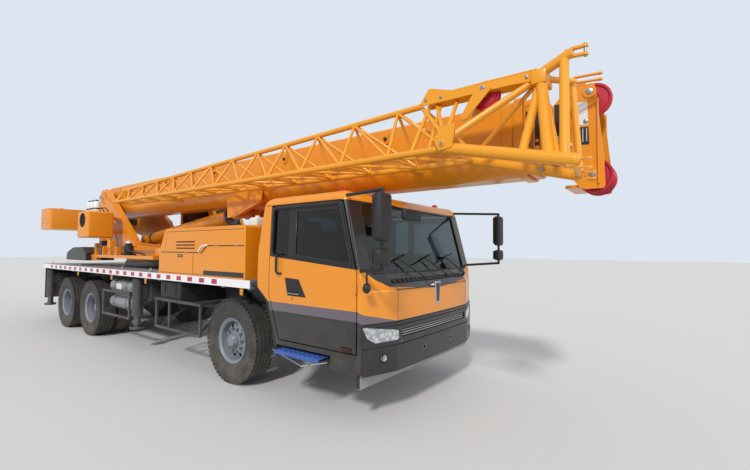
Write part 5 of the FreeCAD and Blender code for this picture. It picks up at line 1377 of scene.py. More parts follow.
class MESH_OT_crane_machinery(bpy.types.Operator):
    """Build the machinery box with its fan, jars and post, the slew motor and the rear hump"""
    bl_idname = "mesh.crane_machinery"
    bl_label = "Machinery"

    def execute(self, context):
        box = Piece("machinery_housing", "machine_enamel", "turntable", "amber_paint")
        box.box((-3.55, -1.2, 1.91), (-2.94, -0.73, 2.45), 0.035, segments=4)
        box.carve("DIFFERENCE", Piece().rod((-3.245, -1.25, 2.27), (-3.245, -1.165, 2.27), 0.135,
            48))
        for z in (2.02, 2.3):
            box.box((-3.36, -0.75, z), (-3.1, -0.49, z + 0.06), 0.006)
        box.box((-3.09, -0.94, 1.56), (-2.95, -0.84, 1.92), 0.004)
        box.plate([(-4.7, 1.43), (-4.7, 1.56), (-4.62, 1.62), (-4.3, 1.71), (-3.7, 1.72), (-3.48,
            1.58), (-3.48, 1.43)], 1, -1.05, -0.5, 0.02, 3)
        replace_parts(box.done(30, even=True), "machinery_box")
        fan = Piece("machinery_fan", "black_abs", "turntable", "black_plastic")
        fan.turned([(0.0, 0.0), (0.045, 0.0), (0.045, 0.02), (0.0, 0.02)], 1, (-3.245, -1.19, 2.27),
            24)
        for number in range(7):
            turn = math.radians(number * 360 / 7)
            tip = Vector((math.cos(turn), 0, math.sin(turn)))
            fan.bar(Vector((-3.245, -1.178, 2.27)) + tip * 0.03, Vector((-3.245, -1.178,
                2.27)) + tip * 0.12, 0.05, 0.006)
        for radius in (0.045, 0.075, 0.105, 0.13):
            fan.turned([(radius - 0.003, -0.003), (radius + 0.003, -0.003), (radius + 0.003, 0.003),
                (radius - 0.003, 0.003)], 1, (-3.245, -1.203, 2.27), 40)
        for number in range(8):
            turn = math.radians(number * 45 + 12)
            tip = Vector((math.cos(turn), 0, math.sin(turn)))
            fan.rod(Vector((-3.245, -1.203, 2.27)) + tip * 0.05, Vector((-3.245, -1.203,
                2.27)) + tip * 0.132, 0.003, 6)
        fan.turned([(0.131, -0.012), (0.145, -0.012), (0.145, 0.006), (0.131, 0.006)], 1, (-3.245,
            -1.196, 2.27), 48)
        fan.done()
        jars = Piece("fluid_jars", "blank_plate", "turntable", "tank_grey")
        caps = Piece("fluid_jar_caps", "black_abs", "turntable", "black_plastic")
        for x in (-3.42, -3.24, -3.05):
            jars.turned([(0.0, 0.0), (0.056, 0.0), (0.06, 0.012), (0.06, 0.19), (0.045, 0.215),
                (0.0, 0.215)], 2, (x, -1.02, 2.45), 28)
            caps.turned([(0.0, 0.21), (0.03, 0.21), (0.03, 0.245), (0.0, 0.245)], 2, (x, -1.02,
                2.45), 20)
            caps.turned([(0.06, 0.05), (0.064, 0.05), (0.064, 0.075), (0.06, 0.075)], 2, (x, -1.02,
                2.45), 28)
            caps.pipe([(x, -0.96, 2.53), (x, -0.86, 2.54), (x, -0.8, 2.46), (x, -0.8, 2.44)], 0.01,
                10)
        jars.done()
        caps.done()
        motor = Piece("slew_motor", "black_abs", "turntable", "black_plastic")
        motor.rod((-1.96, -0.82, 1.562), (-1.96, -0.82, 1.74), 0.085, 28, bevel=0.008)
        motor.rod((-1.96, -0.82, 1.74), (-1.96, -0.82, 1.79), 0.062, 24, bevel=0.006)
        motor.box((-2.06, -0.92, 1.56), (-1.86, -0.72, 1.6), 0.006)
        motor.pipe([(-1.96, -0.88, 1.72), (-1.9, -0.93, 1.72), (-1.6, -0.93, 1.64), (-1.2, -0.9,
            1.6), (-1.05, -0.9, 1.57)], 0.014, 10)
        motor.done()
        cap = Piece("slew_motor_cap", "blank_plate", "turntable", "tank_grey")
        cap.turned([(0.0, 0.0), (0.05, 0.0), (0.05, 0.03), (0.04, 0.045), (0.0, 0.05)], 2, (-1.96,
            -0.82, 1.785), 24).done()
        return {"FINISHED"}


class MESH_OT_crane_turntable(bpy.types.Operator):
    """Build the turntable's flanges, ribs, valve blocks, pins, bolts and rigid pipes"""
    bl_idname = "mesh.crane_turntable"
    bl_label = "Turntable fittings"

    def execute(self, context):
        made = Piece("turntable_flanges", "amber_enamel", "turntable", "amber_paint")
        # along the slanted front edge of each side plate, and the upright behind it
        made.bar((-4.02, -0.475, 3.055), (-2.355, -0.475, 1.806), 0.105, 0.014, 0.002)
        made.bar((-2.34, -0.475, 1.807), (-0.655, -0.475, 1.707), 0.105, 0.014, 0.002)
        for start, end in (((-3.9, -0.503, 2.88), (-3.3, -0.503, 1.62)), ((-4.3, -0.503, 2.6),
                (-3.6, -0.503, 1.66)), ((-5.3, -0.503, 2.3), (-4.45, -0.503, 2.2)), ((-2.6, -0.503,
                1.92), (-2.6, -0.503, 1.58))):
            made.bar(start, end, 0.012, 0.07, 0.002)
        made.plate([(-2.37, 1.743), (-2.967, 2.301), (-3.658, 2.698), (-4.29, 2.966), (-3.632,
            2.371), (-2.927, 1.764)], 1, -0.53, -0.498, 0.003)
        made.turned([(0.05, 0.0), (0.135, 0.0), (0.135, -0.016), (0.05, -0.016)], 1, (-4.2, -0.5,
            2.88), 36)
        made.box((-1.02, -0.76, 1.558), (-0.66, -0.455, 1.7), 0.012, segments=2)
        for x, high in ((-3.34, 1.8), (-2.96, 1.74), (-2.62, 1.86), (-2.3, 1.72)):
            made.box((x - 0.05, -0.93, 1.556), (x + 0.05, -0.83, high), 0.008)
        made.box((-3.46, -0.952, 1.44), (-3.2, -0.86, 1.5), 0.006)
        made.mirrored()
        made.box((-1.02, -0.46, 1.558), (-0.66, 0.46, 1.7), 0.012, segments=2)
        # keeps the left side clear for the operator's cab
        spare = [vert for vert in made.mesh.verts if vert.co.y > 0.51 and -2.7 < vert.co.x < -1.03
                 and vert.co.z > 1.5]
        bmesh.ops.delete(made.mesh, geom=spare, context="VERTS")
        made.done()
        pins = Piece("turntable_pins", "zinc_steel", "turntable", "steel")
        pins.turned([(0.0, -0.012), (0.042, -0.012), (0.046, 0.0), (0.0, 0.0)], 1, (-4.2, -0.57,
            2.88), 28)
        for number in range(6):
            turn = math.radians(number * 60)
            spot = Vector((-4.2 + 0.105 * math.cos(turn), -0.516, 2.88 + 0.105 * math.sin(turn)))
            pins.rod(spot, spot - Vector((0, 0.01, 0)), 0.009, 6)
        for x in (-3.34, -2.96, -2.62, -2.3):
            pins.rod((x, -0.93, 1.68), (x, -0.955, 1.68), 0.016, 12)
            pins.rod((x, -0.93, 1.62), (x, -0.95, 1.62), 0.012, 6)
        for number in range(12):
            x = -3.4 + number * 0.24
            pins.rod((x, -0.925, 1.56), (x, -0.925, 1.572), 0.011, 6)
        pins.done()
        lines = Piece("turntable_pipes", "zinc_steel", "turntable", "steel")
        for number, z in enumerate((1.6, 1.625, 1.65)):
            y = -0.8 + number * 0.03
            lines.pipe([(-3.34, -0.88, z + 0.1), (-3.2, y, z + 0.02), (-2.45, y, z), (-2.3, -0.86,
                z + 0.05)], 0.008, 8)
            lines.pipe([(-2.3, y, z), (-1.35, y, z), (-1.05, y + 0.05, z)], 0.008, 8)
        lines.done()
        return {"FINISHED"}


class MESH_OT_crane_winches(bpy.types.Operator):
    """Build the winch drums' rope windings and motors, and the counterweight's fittings"""
    bl_idname = "mesh.crane_winches"
    bl_label = "Winches and counterweight"

    def execute(self, context):
        bore = context.scene.crane_sizes.rope_bore
        for number, (x, drum) in enumerate(((-4.85, 0.15), (-5.23, 0.13))):
            rope = Piece("winch_rope_%d" % (number + 1), "wire_rope", "turntable", "steel")
            turns = int(0.59 / bore)
            outline = [(drum, 0.0)]
            for turn in range(turns):
                for step in range(5):
                    angle = math.pi * (step + 0.5) / 5
                    outline.append((drum + bore * (0.4 + 0.5 * math.sin(angle)),
                        bore * (turn + 0.5 - 0.5 * math.cos(angle))))
            outline.append((drum, turns * bore))
            rope.turned(outline, 1, (x, -turns * bore / 2, 2.44), 40)
            rope.done(60)
            motor = Piece("winch_hub_%d" % (number + 1), "black_abs", "turntable", "black_plastic")
            for side in (-1, 1):
                motor.turned([(0.0, 0.0), (0.085, 0.0), (0.085, 0.035 * side), (0.06, 0.05 * side),
                    (0.0, 0.05 * side)], 1, (x, 0.502 * side, 2.44), 28)
                for bolt in range(6):
                    turn = math.radians(bolt * 60 + 15)
                    spot = Vector((x + 0.07 * math.cos(turn), 0.537 * side,
                        2.44 + 0.07 * math.sin(turn)))
                    motor.rod(spot, spot + Vector((0, 0.008 * side, 0)), 0.007, 6)
            motor.done()
        weight = Piece("counterweight_fittings", "amber_enamel", "turntable", "amber_paint")
        for side in (-1, 1):
            y = 0.86 * side
            weight.box((-5.93, y - 0.02, 2.645), (-5.81, y + 0.02, 2.7), 0.01, segments=2)
            weight.box((-6.02, y - 0.09, 2.646), (-5.72, y + 0.09, 2.66), 0.004)
        weight.box((-6.304, -0.36, 2.2), (-6.296, 0.36, 2.6), 0.003)
        weight.done()
        seams = Piece("counterweight_seams", "hose_rubber", "turntable", "black_plastic")
        for side in (-1, 1):
            seams.box((-6.06, 1.2005 * side - 0.0015, 2.395), (-5.5, 1.2005 * side + 0.0015, 2.399),
                0)
            for x in (-5.98, -5.58):
                seams.rod((x, 1.199 * side, 2.3), (x, 1.204 * side, 2.3), 0.016, 18)
        seams.done()
        lamps = Piece("counterweight_reflectors", "strip_red", "turntable", "lamp")
        for y in (-0.95, 0.95):
            lamps.box((-6.303, y - 0.1, 2.3), (-6.298, y + 0.1, 2.35), 0.002)
        lamps.done()
        return {"FINISHED"}


class MESH_OT_crane_opcab(bpy.types.Operator):
    """Build the operator's cab window rubbers, handle, wiper, gutter and vents"""
    bl_idname = "mesh.crane_opcab"
    bl_label = "Operator's cab"

    def execute(self, context):
        rubber = Piece("opcab_window_rubber", "hose_rubber", "turntable", "black_plastic")
        ring = rounded([(-2.5, 2.0, 0.04), (-2.5, 2.6, 0.04), (-1.56, 2.6, 0.04), (-1.2, 2.06,
            0.04), (-1.2, 2.0, 0.04)], 3)
        points = [(x, 0.519, z) for x, z in ring]
        rubber.pipe(points + points[:1], 0.01, 8)
        rubber.done()
        door = Piece("opcab_door_rubber", "hose_rubber", "operator_door", "black_plastic")
        ring = rounded([(-2.3, 1.95, 0.04), (-2.3, 2.61, 0.04), (-1.57, 2.61, 0.04), (-1.22, 2.06,
            0.04), (-1.22, 1.95, 0.04)], 3)
        points = [(x, 1.24, z) for x, z in ring]
        door.pipe(points + points[:1], 0.01, 8)
        door.pipe([(-1.3, 1.24, 1.72), (-1.3, 1.275, 1.73), (-1.3, 1.275, 1.88), (-1.3, 1.24,
            1.89)], 0.009, 10)
        door.done()
        pane = Piece("opcab_door_pane", "tinted_glass", "operator_door", "glass")
        pane.plate(rounded([(-2.298, 1.952, 0.04), (-2.298, 2.608, 0.04), (-1.571, 2.608, 0.04),
            (-1.222, 2.059, 0.04), (-1.222, 1.952, 0.04)]), 1, 1.219, 1.225)
        pane.done()
        wiper = Piece("opcab_wiper", "black_abs", "turntable", "black_plastic")
        wiper.rod((-1.03, 0.86, 1.74), (-1.012, 0.86, 1.74), 0.018, 16)
        wiper.bar((-1.016, 0.86, 1.74), (-1.016, 0.98, 2.02), 0.01, 0.012)
        wiper.bar((-1.02, 0.9, 1.86), (-1.02, 1.06, 2.03), 0.007, 0.012)
        wiper.box((-2.3, 0.62, 2.738), (-1.7, 1.1, 2.752), 0.006)
        for number in range(6):
            z = 1.66 + number * 0.035
            wiper.box((-2.56, 0.512, z), (-2.4, 0.521, z + 0.016), 0.002)
        wiper.done()
        lamp = Piece("opcab_work_lamp", "lamp_lens", "turntable", "lamp")
        lamp.turned([(0.0, 0.0), (0.05, 0.0), (0.054, -0.05), (0.03, -0.075), (0.0, -0.08)], 0,
            (-1.4, 0.66, 2.8), 24).done()
        return {"FINISHED"}


# Boom, its head and its lifting bracket

SECTION_STEP = 0.026     # how much smaller each section is than the one round it
HEAD_REACH = 6.035       # the head plates' front edge along X


def section(inset):
    """A boom section from the front: flat top, rounded belly."""
    half, low, top = 0.33 - inset, 2.42 + inset, 3.13 - inset
    return rounded([(-half, low, 0.23 - inset), (half, low, 0.23 - inset), (half, top, 0.03),
        (-half, top, 0.03)])


class MESH_OT_crane_boom_head(bpy.types.Operator):
    """Build the top section with its head plates and the head's sheaves"""
    bl_idname = "mesh.crane_boom_head"
    bl_label = "Boom head"

    def execute(self, context):
        inset = SECTION_STEP * 4
        half = 0.33 - inset
        top = Piece("boom_top_section", "amber_enamel", "tele_5", "amber_paint")
        top.plate(section(inset), 0, -3.96, 5.675)
        top.carve("DIFFERENCE", Piece().plate(section(inset + 0.014), 0, -4.0, 5.7))
        profile = rounded([(5.625, 2.54), (5.625, 3.03), (5.74, 3.155, 0.05), (5.97, 3.175, 0.03),
            (HEAD_REACH - 0.055, 3.1, 0.03), (HEAD_REACH, 2.5), (HEAD_REACH + 0.008, 2.24, 0.03),
            (5.86, 2.24, 0.08)], 4)
        for side in (-1, 1):
            top.plate(profile, 1, *sorted(((half - 0.005) * side, (half + 0.02) * side)),
                bevel=0.003)
        top.box((5.675, -half, 2.6), (5.7, half, 3.02), 0.003)
        top.box((5.72, -half, 2.26), (5.9, half, 2.285), 0.003)
        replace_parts(top.done(30, even=True), "boom_5")
        wheels = Piece("boom_head_sheaves", "sheave_enamel", "tele_5", "sheave_red")
        rim = [(0.031, -0.018), (0.06, -0.026), (0.06, -0.012), (0.122, -0.01), (0.132, -0.024),
            (0.152, -0.024), (0.134, 0.0), (0.152, 0.024), (0.132, 0.024), (0.122, 0.01), (0.06,
            0.012), (0.06, 0.026), (0.031, 0.018)]
        for x, z, places in ((5.93, 3.1, (0.0,)), (5.945, 2.37, (-0.12, -0.04, 0.04, 0.12)), (5.76,
                2.64, (-0.08, 0.08))):
            for y in places:
                wheels.turned(rim, 1, (x, y, z), 44)
        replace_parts(wheels.done(30), "head_sheaves")
        pins = Piece("boom_head_pins", "zinc_steel", "tele_5", "steel")
        for x, z, radius in ((5.93, 3.1, 0.03), (5.945, 2.37, 0.03), (5.76, 2.64, 0.028), (5.9,
                2.84, 0.02)):
            pins.rod((x, -half - 0.034, z), (x, half + 0.034, z), radius, 24, bevel=0.003)
        pins.done()
        trim = Piece("boom_head_rims", "amber_enamel", "tele_5", "amber_paint")
        for side in (-1, 1):
            y = (half + 0.02) * side
            for x, z, radius in ((5.93, 3.1, 0.055), (5.945, 2.37, 0.055)):
                trim.turned([(0.031, 0.0), (radius, 0.0), (radius, 0.01 * side), (0.031,
                    0.01 * side)], 1, (x, y, z), 32)
            trim.box((HEAD_REACH - 0.045, min(y, y + 0.03 * side), 2.28), (HEAD_REACH - 0.033,
                max(y, y + 0.03 * side), 3.02), 0.002)
        trim.rod((5.86, -half, 3.19), (5.86, half, 3.19), 0.02, 16)
        for side in (-1, 1):
            trim.plate([(5.8, 3.14), (5.83, 3.215), (5.89, 3.215), (5.92, 3.14)], 1,
                *sorted((0.2 * side, 0.215 * side)), 0.003)
        trim.done()
        face = -half - 0.0205
        plate = Piece("boom_head_blank_plate", "blank_plate", "tele_5", "amber_paint")
        plate.plate([(5.82, 2.815), (5.916, 2.805), (5.914, 3.018), (5.818, 3.022)], 1,
            face - 0.003, face, 0.001)
        plate.done()
        # black plates for the head plate's opening and its tall slot: painted shade inside them
        recess = Piece("boom_head_recess", "black_abs", "tele_5", "black_plastic")
        recess.plate([(5.825, 2.64), (5.925, 2.63), (5.92, 2.79), (5.825, 2.798)], 1, face - 0.002,
            face, 0.001)
        recess.box((5.64, face - 0.002, 2.62), (5.695, face, 3.04), 0.001)
        recess.done()
        rods = Piece("boom_head_rods", "zinc_steel", "tele_5", "steel")
        for x in (5.845, 5.875, 5.905):
            rods.rod((x, face - 0.01, 2.655), (x, face - 0.01, 2.775), 0.008, 10)
        rods.rod((5.668, face - 0.012, 2.62), (5.668, face - 0.012, 2.74), 0.013, 12)
        rods.done()
        return {"FINISHED"}


class MESH_OT_crane_boom_fittings(bpy.types.Operator):
    """Build the boom's collar slots in painted shade, foot, roller brackets, weld seams and lifting
    bracket
    """
    bl_idname = "mesh.crane_boom_fittings"
    bl_label = "Boom fittings"

    def execute(self, context):
        for number in (1, 2, 3):
            half = 0.33 - SECTION_STEP * number + 0.02
            x = 5.395 + 0.075 * (number - 1)
            body = "tele_%d" % (number + 1)
            # the collar slots are black strips on the plates: painted shade inside the slots
            slots = Piece("boom_slots_%d" % number, "black_abs", body, "black_plastic")
            rods = Piece("boom_slot_pads_%d" % number, "amber_enamel", body, "amber_paint")
            for side in (-1, 1):
                y = half * side
                if number != 3:
                    slots.box((x + 0.008, min(y, y + 0.002 * side), 2.64), (x + 0.052, max(y,
                        y + 0.002 * side), 3.06), 0.0008)
                rods.rod((x + 0.03, y, 2.655), (x + 0.03, y + 0.012 * side, 2.655), 0.02, 16)
                rods.rod((x + 0.03, y, 2.72), (x + 0.03, y + 0.012 * side, 2.72), 0.016, 6)
                rods.box((x + 0.012, min(y, y + 0.014 * side), 3.0), (x + 0.048, max(y,
                    y + 0.014 * side), 3.05), 0.003)
            slots.box((x + 0.01, -0.1, 3.13 - SECTION_STEP * number + 0.0195), (x + 0.05, 0.1,
                3.13 - SECTION_STEP * number + 0.0225), 0.0005)
            slots.done()
            rods.done()
        welds = Piece("boom_weld_seams", "amber_enamel", "boom", "amber_paint")
        for side in (-1, 1):
            y = 0.3305 * side
            welds.rod((-4.2, y, 2.655), (5.29, y, 2.655), 0.0035, 6)
            for x in (-3.85, 5.18):
                welds.box((x, min(y, y + 0.01 * side), 2.66), (x + 0.1, max(y, y + 0.01 * side),
                    3.1), 0.003)
            welds.box((-4.305, min(y * 0.2, y), 2.5), (-4.298, max(y * 0.2, y), 3.1), 0.002)
        welds.box((-4.2, -0.28, 3.129), (-3.9, 0.28, 3.142), 0.004)
        welds.done()
        bracket = Piece("boom_lift_bracket", "amber_enamel", "boom", "amber_paint")
        outline = [(0.56, 2.7), (0.59, 2.205), (0.8, 2.215), (1.47, 2.42), (1.505, 2.58), (1.505,
            2.7)]
        for side in (-1, 1):
            bracket.plate(outline, 1, *sorted((0.332 * side, 0.346 * side)), 0.003)
            bracket.bar((0.8, 0.339 * side, 2.213), (1.47, 0.339 * side, 2.418), 0.06, 0.012)
            bracket.rod((1.3, 0.33 * side, 2.56), (1.3, 0.352 * side, 2.56), 0.045, 24)
        bracket.box((0.665, -0.335, 2.215), (0.68, 0.335, 2.44), 0.002)
        bracket.box((1.18, -0.335, 2.33), (1.195, 0.335, 2.425), 0.002)
        bracket.done()
        tops = Piece("boom_roller_brackets", "amber_enamel", "boom", "amber_paint")
        rollers = Piece("boom_rollers", "hose_rubber", "boom", "black_plastic")
        for x in (-3.55, -2.7, -0.6, 2.1, 4.6):
            for y in (-0.1, 0.1):
                tops.plate([(x - 0.05, 3.128), (x + 0.05, 3.128), (x + 0.03, 3.185), (x - 0.03,
                    3.185)], 1, y - 0.006, y + 0.006, 0.002)
            rollers.rod((x, -0.094, 3.172), (x, 0.094, 3.172), 0.016, 14)
        for x in (-2.9, -1.5, 0.2, 2.0, 3.8):
            tops.box((x - 0.03, -0.35, 2.94), (x + 0.03, -0.33, 3.06), 0.004)
            rollers.rod((x, -0.35, 3.0), (x, -0.372, 3.0), 0.02, 12)
        tops.done()
        rollers.done()
        eye = Piece("luff_pins", "zinc_steel", "boom", "steel")
        for side in (-1, 1):
            eye.turned([(0.0, 0.0), (0.036, 0.0), (0.036, 0.01 * side), (0.0, 0.014 * side)], 1,
                (0.53, 0.1405 * side, 2.31), 24)
        eye.done()
        gland = Piece("luff_gland", "machined_steel", "luff_tube", "steel")
        base, along = Vector((-2.98, 0, 1.88)), Vector((3.51, 0, 0.43)).normalized()
        gland.rod(base + along * 3.14, base + along * 3.205, 0.136, 36, bevel=0.004)
        gland.rod(base + along * 0.3, base + along * 0.36, 0.136, 36, bevel=0.004)
        hole = Piece().rod(base + along * 3.0, base + along * 3.3, 0.0765, 32)
        gland.carve("DIFFERENCE", hole)
        gland.pipe([base + along * 3.1 + Vector((0, 0.03, -0.13)), base + along * 3.1 + Vector((0,
            0.03, -0.16)), base + along * 0.5 + Vector((0, 0.03, -0.16)),
            base + along * 0.5 + Vector((0, 0.03, -0.12))], 0.012, 10)
        gland.done()
        return {"FINISHED"}


# Stowed lattice jib


class MESH_OT_crane_jib(bpy.types.Operator):
    """Build the jib's tubes, root plates, sheave, gussets and fork ends"""
    bl_idname = "mesh.crane_jib"
    bl_label = "Stowed jib"

    CHORDS = {"top": ((-2.45, -0.75, 2.86), (4.53, -0.75, 3.115)),
              "near": ((-2.45, -0.9, 2.62), (4.96, -1.1, 2.56)),
              "far": ((-2.45, -0.6, 2.62), (4.96, -0.5, 2.56))}
    PANELS = 12

    def along(self, chord, share):
        start, end = (Vector(point) for point in self.CHORDS[chord])
        return start.lerp(end, share)

    def fork(self, piece, root, tip, spread, wide=0.034, thick=0.014):
        """Two flat prongs with a pin's eye, from a tube's end."""
        root, tip = Vector(root), Vector(tip)
        for way in (-1, 1):
            shift = Vector((0, 0, way * spread))
            piece.bar(root + shift * 0.9, tip + shift, wide, thick, 0.003)
            piece.rod(tip + shift - Vector((0, 0, thick / 2)), tip + shift + Vector((0, 0,
                thick / 2)), wide * 0.62, 16)

    def execute(self, context):
        tubes = Piece("jib_tubes", "jib_enamel", "boom", "amber_paint")
        for start, end in self.CHORDS.values():
            tubes.rod(start, end, 0.03, 16)
        for number in range(self.PANELS):
            here, middle, there = ((number + step) / self.PANELS for step in (0.0, 0.5, 1.0))
            for low in ("near", "far"):
                tubes.rod(self.along(low, here), self.along("top", middle), 0.0165, 10)
                tubes.rod(self.along("top", middle), self.along(low, there), 0.0165, 10)
            tubes.rod(self.along("near", here), self.along("far", there), 0.0145, 10)
            tubes.rod(self.along("near", here), self.along("far", here), 0.0145, 10)
        for low in ("near", "far"):
            tubes.rod(self.along(low, 0), self.along("top", 0), 0.0165, 10)
        near_root, far_root = (Vector(self.CHORDS[name][1]) for name in ("near", "far"))
        # start, end, radius
        for start, end, radius in ((near_root, (5.955, -1.1, 2.33), 0.05), (far_root, (5.62, -0.55,
                2.385), 0.046), ((5.62, -0.55, 2.385), (5.9, -0.58, 2.305), 0.046),
                (near_root + Vector((0.05, 0, 0.09)), (5.6, -0.77, 3.09), 0.031),
                (far_root + Vector((0.05, 0, 0.09)), (5.58, -0.73, 3.05), 0.02), ((5.64, -0.8,
                3.12), (5.885, -0.8, 3.235), 0.04), ((5.839, -0.8, 3.2), (5.897, -1.1, 2.363),
                0.036), ((5.862, -0.6, 3.06), (5.911, -0.62, 2.33), 0.026), ((5.645, -0.75, 3.09),
                (5.6, -1.1, 2.43), 0.034), ((5.66, -0.78, 3.09), (5.79, -1.1, 2.38), 0.046),
                ((5.665, -0.74, 3.08), (5.853, -1.1, 2.365), 0.022), ((5.86, -0.5, 3.12), (5.645,
                -0.75, 3.11), 0.026), ((5.955, -1.08, 2.33), (5.9, -0.58, 2.305), 0.026), ((4.53,
                -0.75, 3.1), (4.96, -1.09, 2.64), 0.022), ((4.53, -0.75, 3.1), (4.96, -0.52, 2.64),
                0.018), ((4.7, -0.76, 3.09), (4.945, -1.1, 2.65), 0.018), ((4.91, -0.76, 3.08),
                (4.96, -1.09, 2.68), 0.018), ((4.62, -0.76, 3.09), (4.61, -1.085, 2.575), 0.02),
                ((4.74, -0.76, 3.08), (4.8, -1.095, 2.575), 0.016), ((4.96, -1.1, 2.56), (4.96,
                -0.5, 2.56), 0.02)):
            tubes.rod(start, end, radius, 18)
        for point, radius in ((near_root, 0.054), (far_root, 0.048), ((5.955, -1.1, 2.33), 0.05),
                ((5.62, -0.55, 2.385), 0.048)):
            tubes.ball(point, radius, sides=18)
        for share, reach in ((0.2, 0.33), (0.55, 0.33), (0.9, 0.33)):
            spot = self.along("far", share)
            tubes.box((spot.x, spot.y, spot.z - 0.03), (spot.x + 0.08, -reach, spot.z + 0.03),
                0.004)
        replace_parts(tubes.done(40), "jib")

        plates = Piece("jib_root_plates", "jib_enamel", "boom", "amber_paint")
        outline = [(4.545, 3.105), (4.64, 3.236), (4.675, 3.236), (4.885, 3.172), (5.3, 3.176),
            (5.64, 3.156), (5.69, 3.11), (5.64, 3.07), (5.38, 3.086), (5.017, 3.088), (4.885,
            3.092), (4.6, 3.085)]
        for low in (-0.828, -0.69):
            plates.plate(outline, 1, low, low + 0.012, 0.002)
        plates.box((4.66, -0.83, 3.085), (5.62, -0.678, 3.098), 0.002)
        plates.box((5.1, -0.83, 3.16), (5.64, -0.678, 3.172), 0.002)
        # hanging bracket with its holed foot, both sides of the sheave
        for low in (-0.842, -0.676):
            plates.plate([(5.27, 3.1), (5.11, 3.1), (5.07, 3.05), (4.985, 2.905), (4.985, 2.868),
                (5.03, 2.862)], 1, low, low + 0.012, 0.003)
            plates.rod((5.006, low - 0.006, 2.888), (5.006, low + 0.018, 2.888), 0.024, 18)
        # gusset where the root's tubes meet
        plates.plate([(4.885, 2.6), (4.93, 2.735), (5.075, 2.75), (5.05, 2.55), (4.925, 2.53)], 1,
            -1.158, -1.146, 0.003)
        plates.rod((4.955, -1.168, 2.59), (4.955, -1.04, 2.59), 0.03, 20, bevel=0.003)
        plates.box((5.6, -0.86, 3.035), (5.715, -0.64, 3.15), 0.01, segments=2)
        # end forks
        self.fork(plates, (5.885, -0.8, 3.236), (5.99, -0.8, 3.232), 0.032, 0.034, 0.022)
        self.fork(plates, (5.94, -1.1, 2.31), (6.05, -1.1, 2.3), 0.032)
        self.fork(plates, (5.895, -0.6, 2.3), (6.0, -0.6, 2.298), 0.027)
        self.fork(plates, (5.85, -0.5, 3.13), (6.035, -0.42, 3.15), 0.026)
        for spot in ((5.875, -0.8, 3.232), (5.935, -1.1, 2.308), (5.89, -0.6, 2.302)):
            plates.box([a - 0.03 for a in spot], [a + 0.03 for a in spot], 0.006)
        plates.done()
        wheel = Piece("jib_sheave", "sheave_enamel", "boom", "sheave_red")
        wheel.turned([(0.02, -0.02), (0.06, -0.02), (0.1, -0.01), (0.118, -0.024), (0.13, -0.024),
            (0.118, 0.0), (0.13, 0.024), (0.118, 0.024), (0.1, 0.01), (0.06, 0.02), (0.02, 0.02)],
            1, (5.184, -0.752, 3.07))
        wheel.done()
        bolts = Piece("jib_pins", "zinc_steel", "boom", "steel")
        for x, z, radius in ((4.774, 3.131, 0.014), (4.613, 3.135, 0.016), (5.184, 3.12, 0.022),
                (5.56, 3.12, 0.014)):
            bolts.rod((x, -0.838, z), (x, -0.668, z), radius, 16, bevel=0.002)
        bolts.rod((4.955, -1.178, 2.59), (4.955, -1.03, 2.59), 0.014, 14)
        bolts.rod((5.99, -0.8, 3.18), (5.99, -0.8, 3.288), 0.012, 12)
        bolts.rod((5.612, -0.615, 2.385), (5.628, -0.485, 2.385), 0.02, 14)
        for share in (0.2, 0.55, 0.9):
            spot = self.along("far", share)
            for z in (-0.02, 0.02):
                bolts.rod((spot.x + 0.02, -0.36, spot.z + z - 0.01), (spot.x + 0.02, -0.36,
                    spot.z + z + 0.01), 0.008, 6)
        bolts.done()
        return {"FINISHED"}


# Inside the cabs


def cushion(piece, profile, y, half, crown):
    """A crowned cushion across Y, its top swelled and its rim drawn in as a seam."""
    rings = []
    for step in range(9):
        share = step / 4 - 1
        draw = 1 - 0.22 * abs(share) ** 6
        middle = Vector((sum(p[0] for p in profile), sum(p[1] for p in profile))) / len(profile)
        rings.append([(middle.x + (p[0] - middle.x) * draw, y + half * share,
            middle.y + (p[1] - middle.y) * draw + crown * (1 - share * share)) for p in profile])
    piece.lofted(rings)
    return piece


def pad_seat(piece, angle):
    """Finish a seat's sewn cushions: made into one piece and smoothed."""
    thing = piece.done(angle)
    rounder = thing.modifiers.new("rounder", "SUBSURF")
    rounder.levels = rounder.render_levels = 2
    return thing


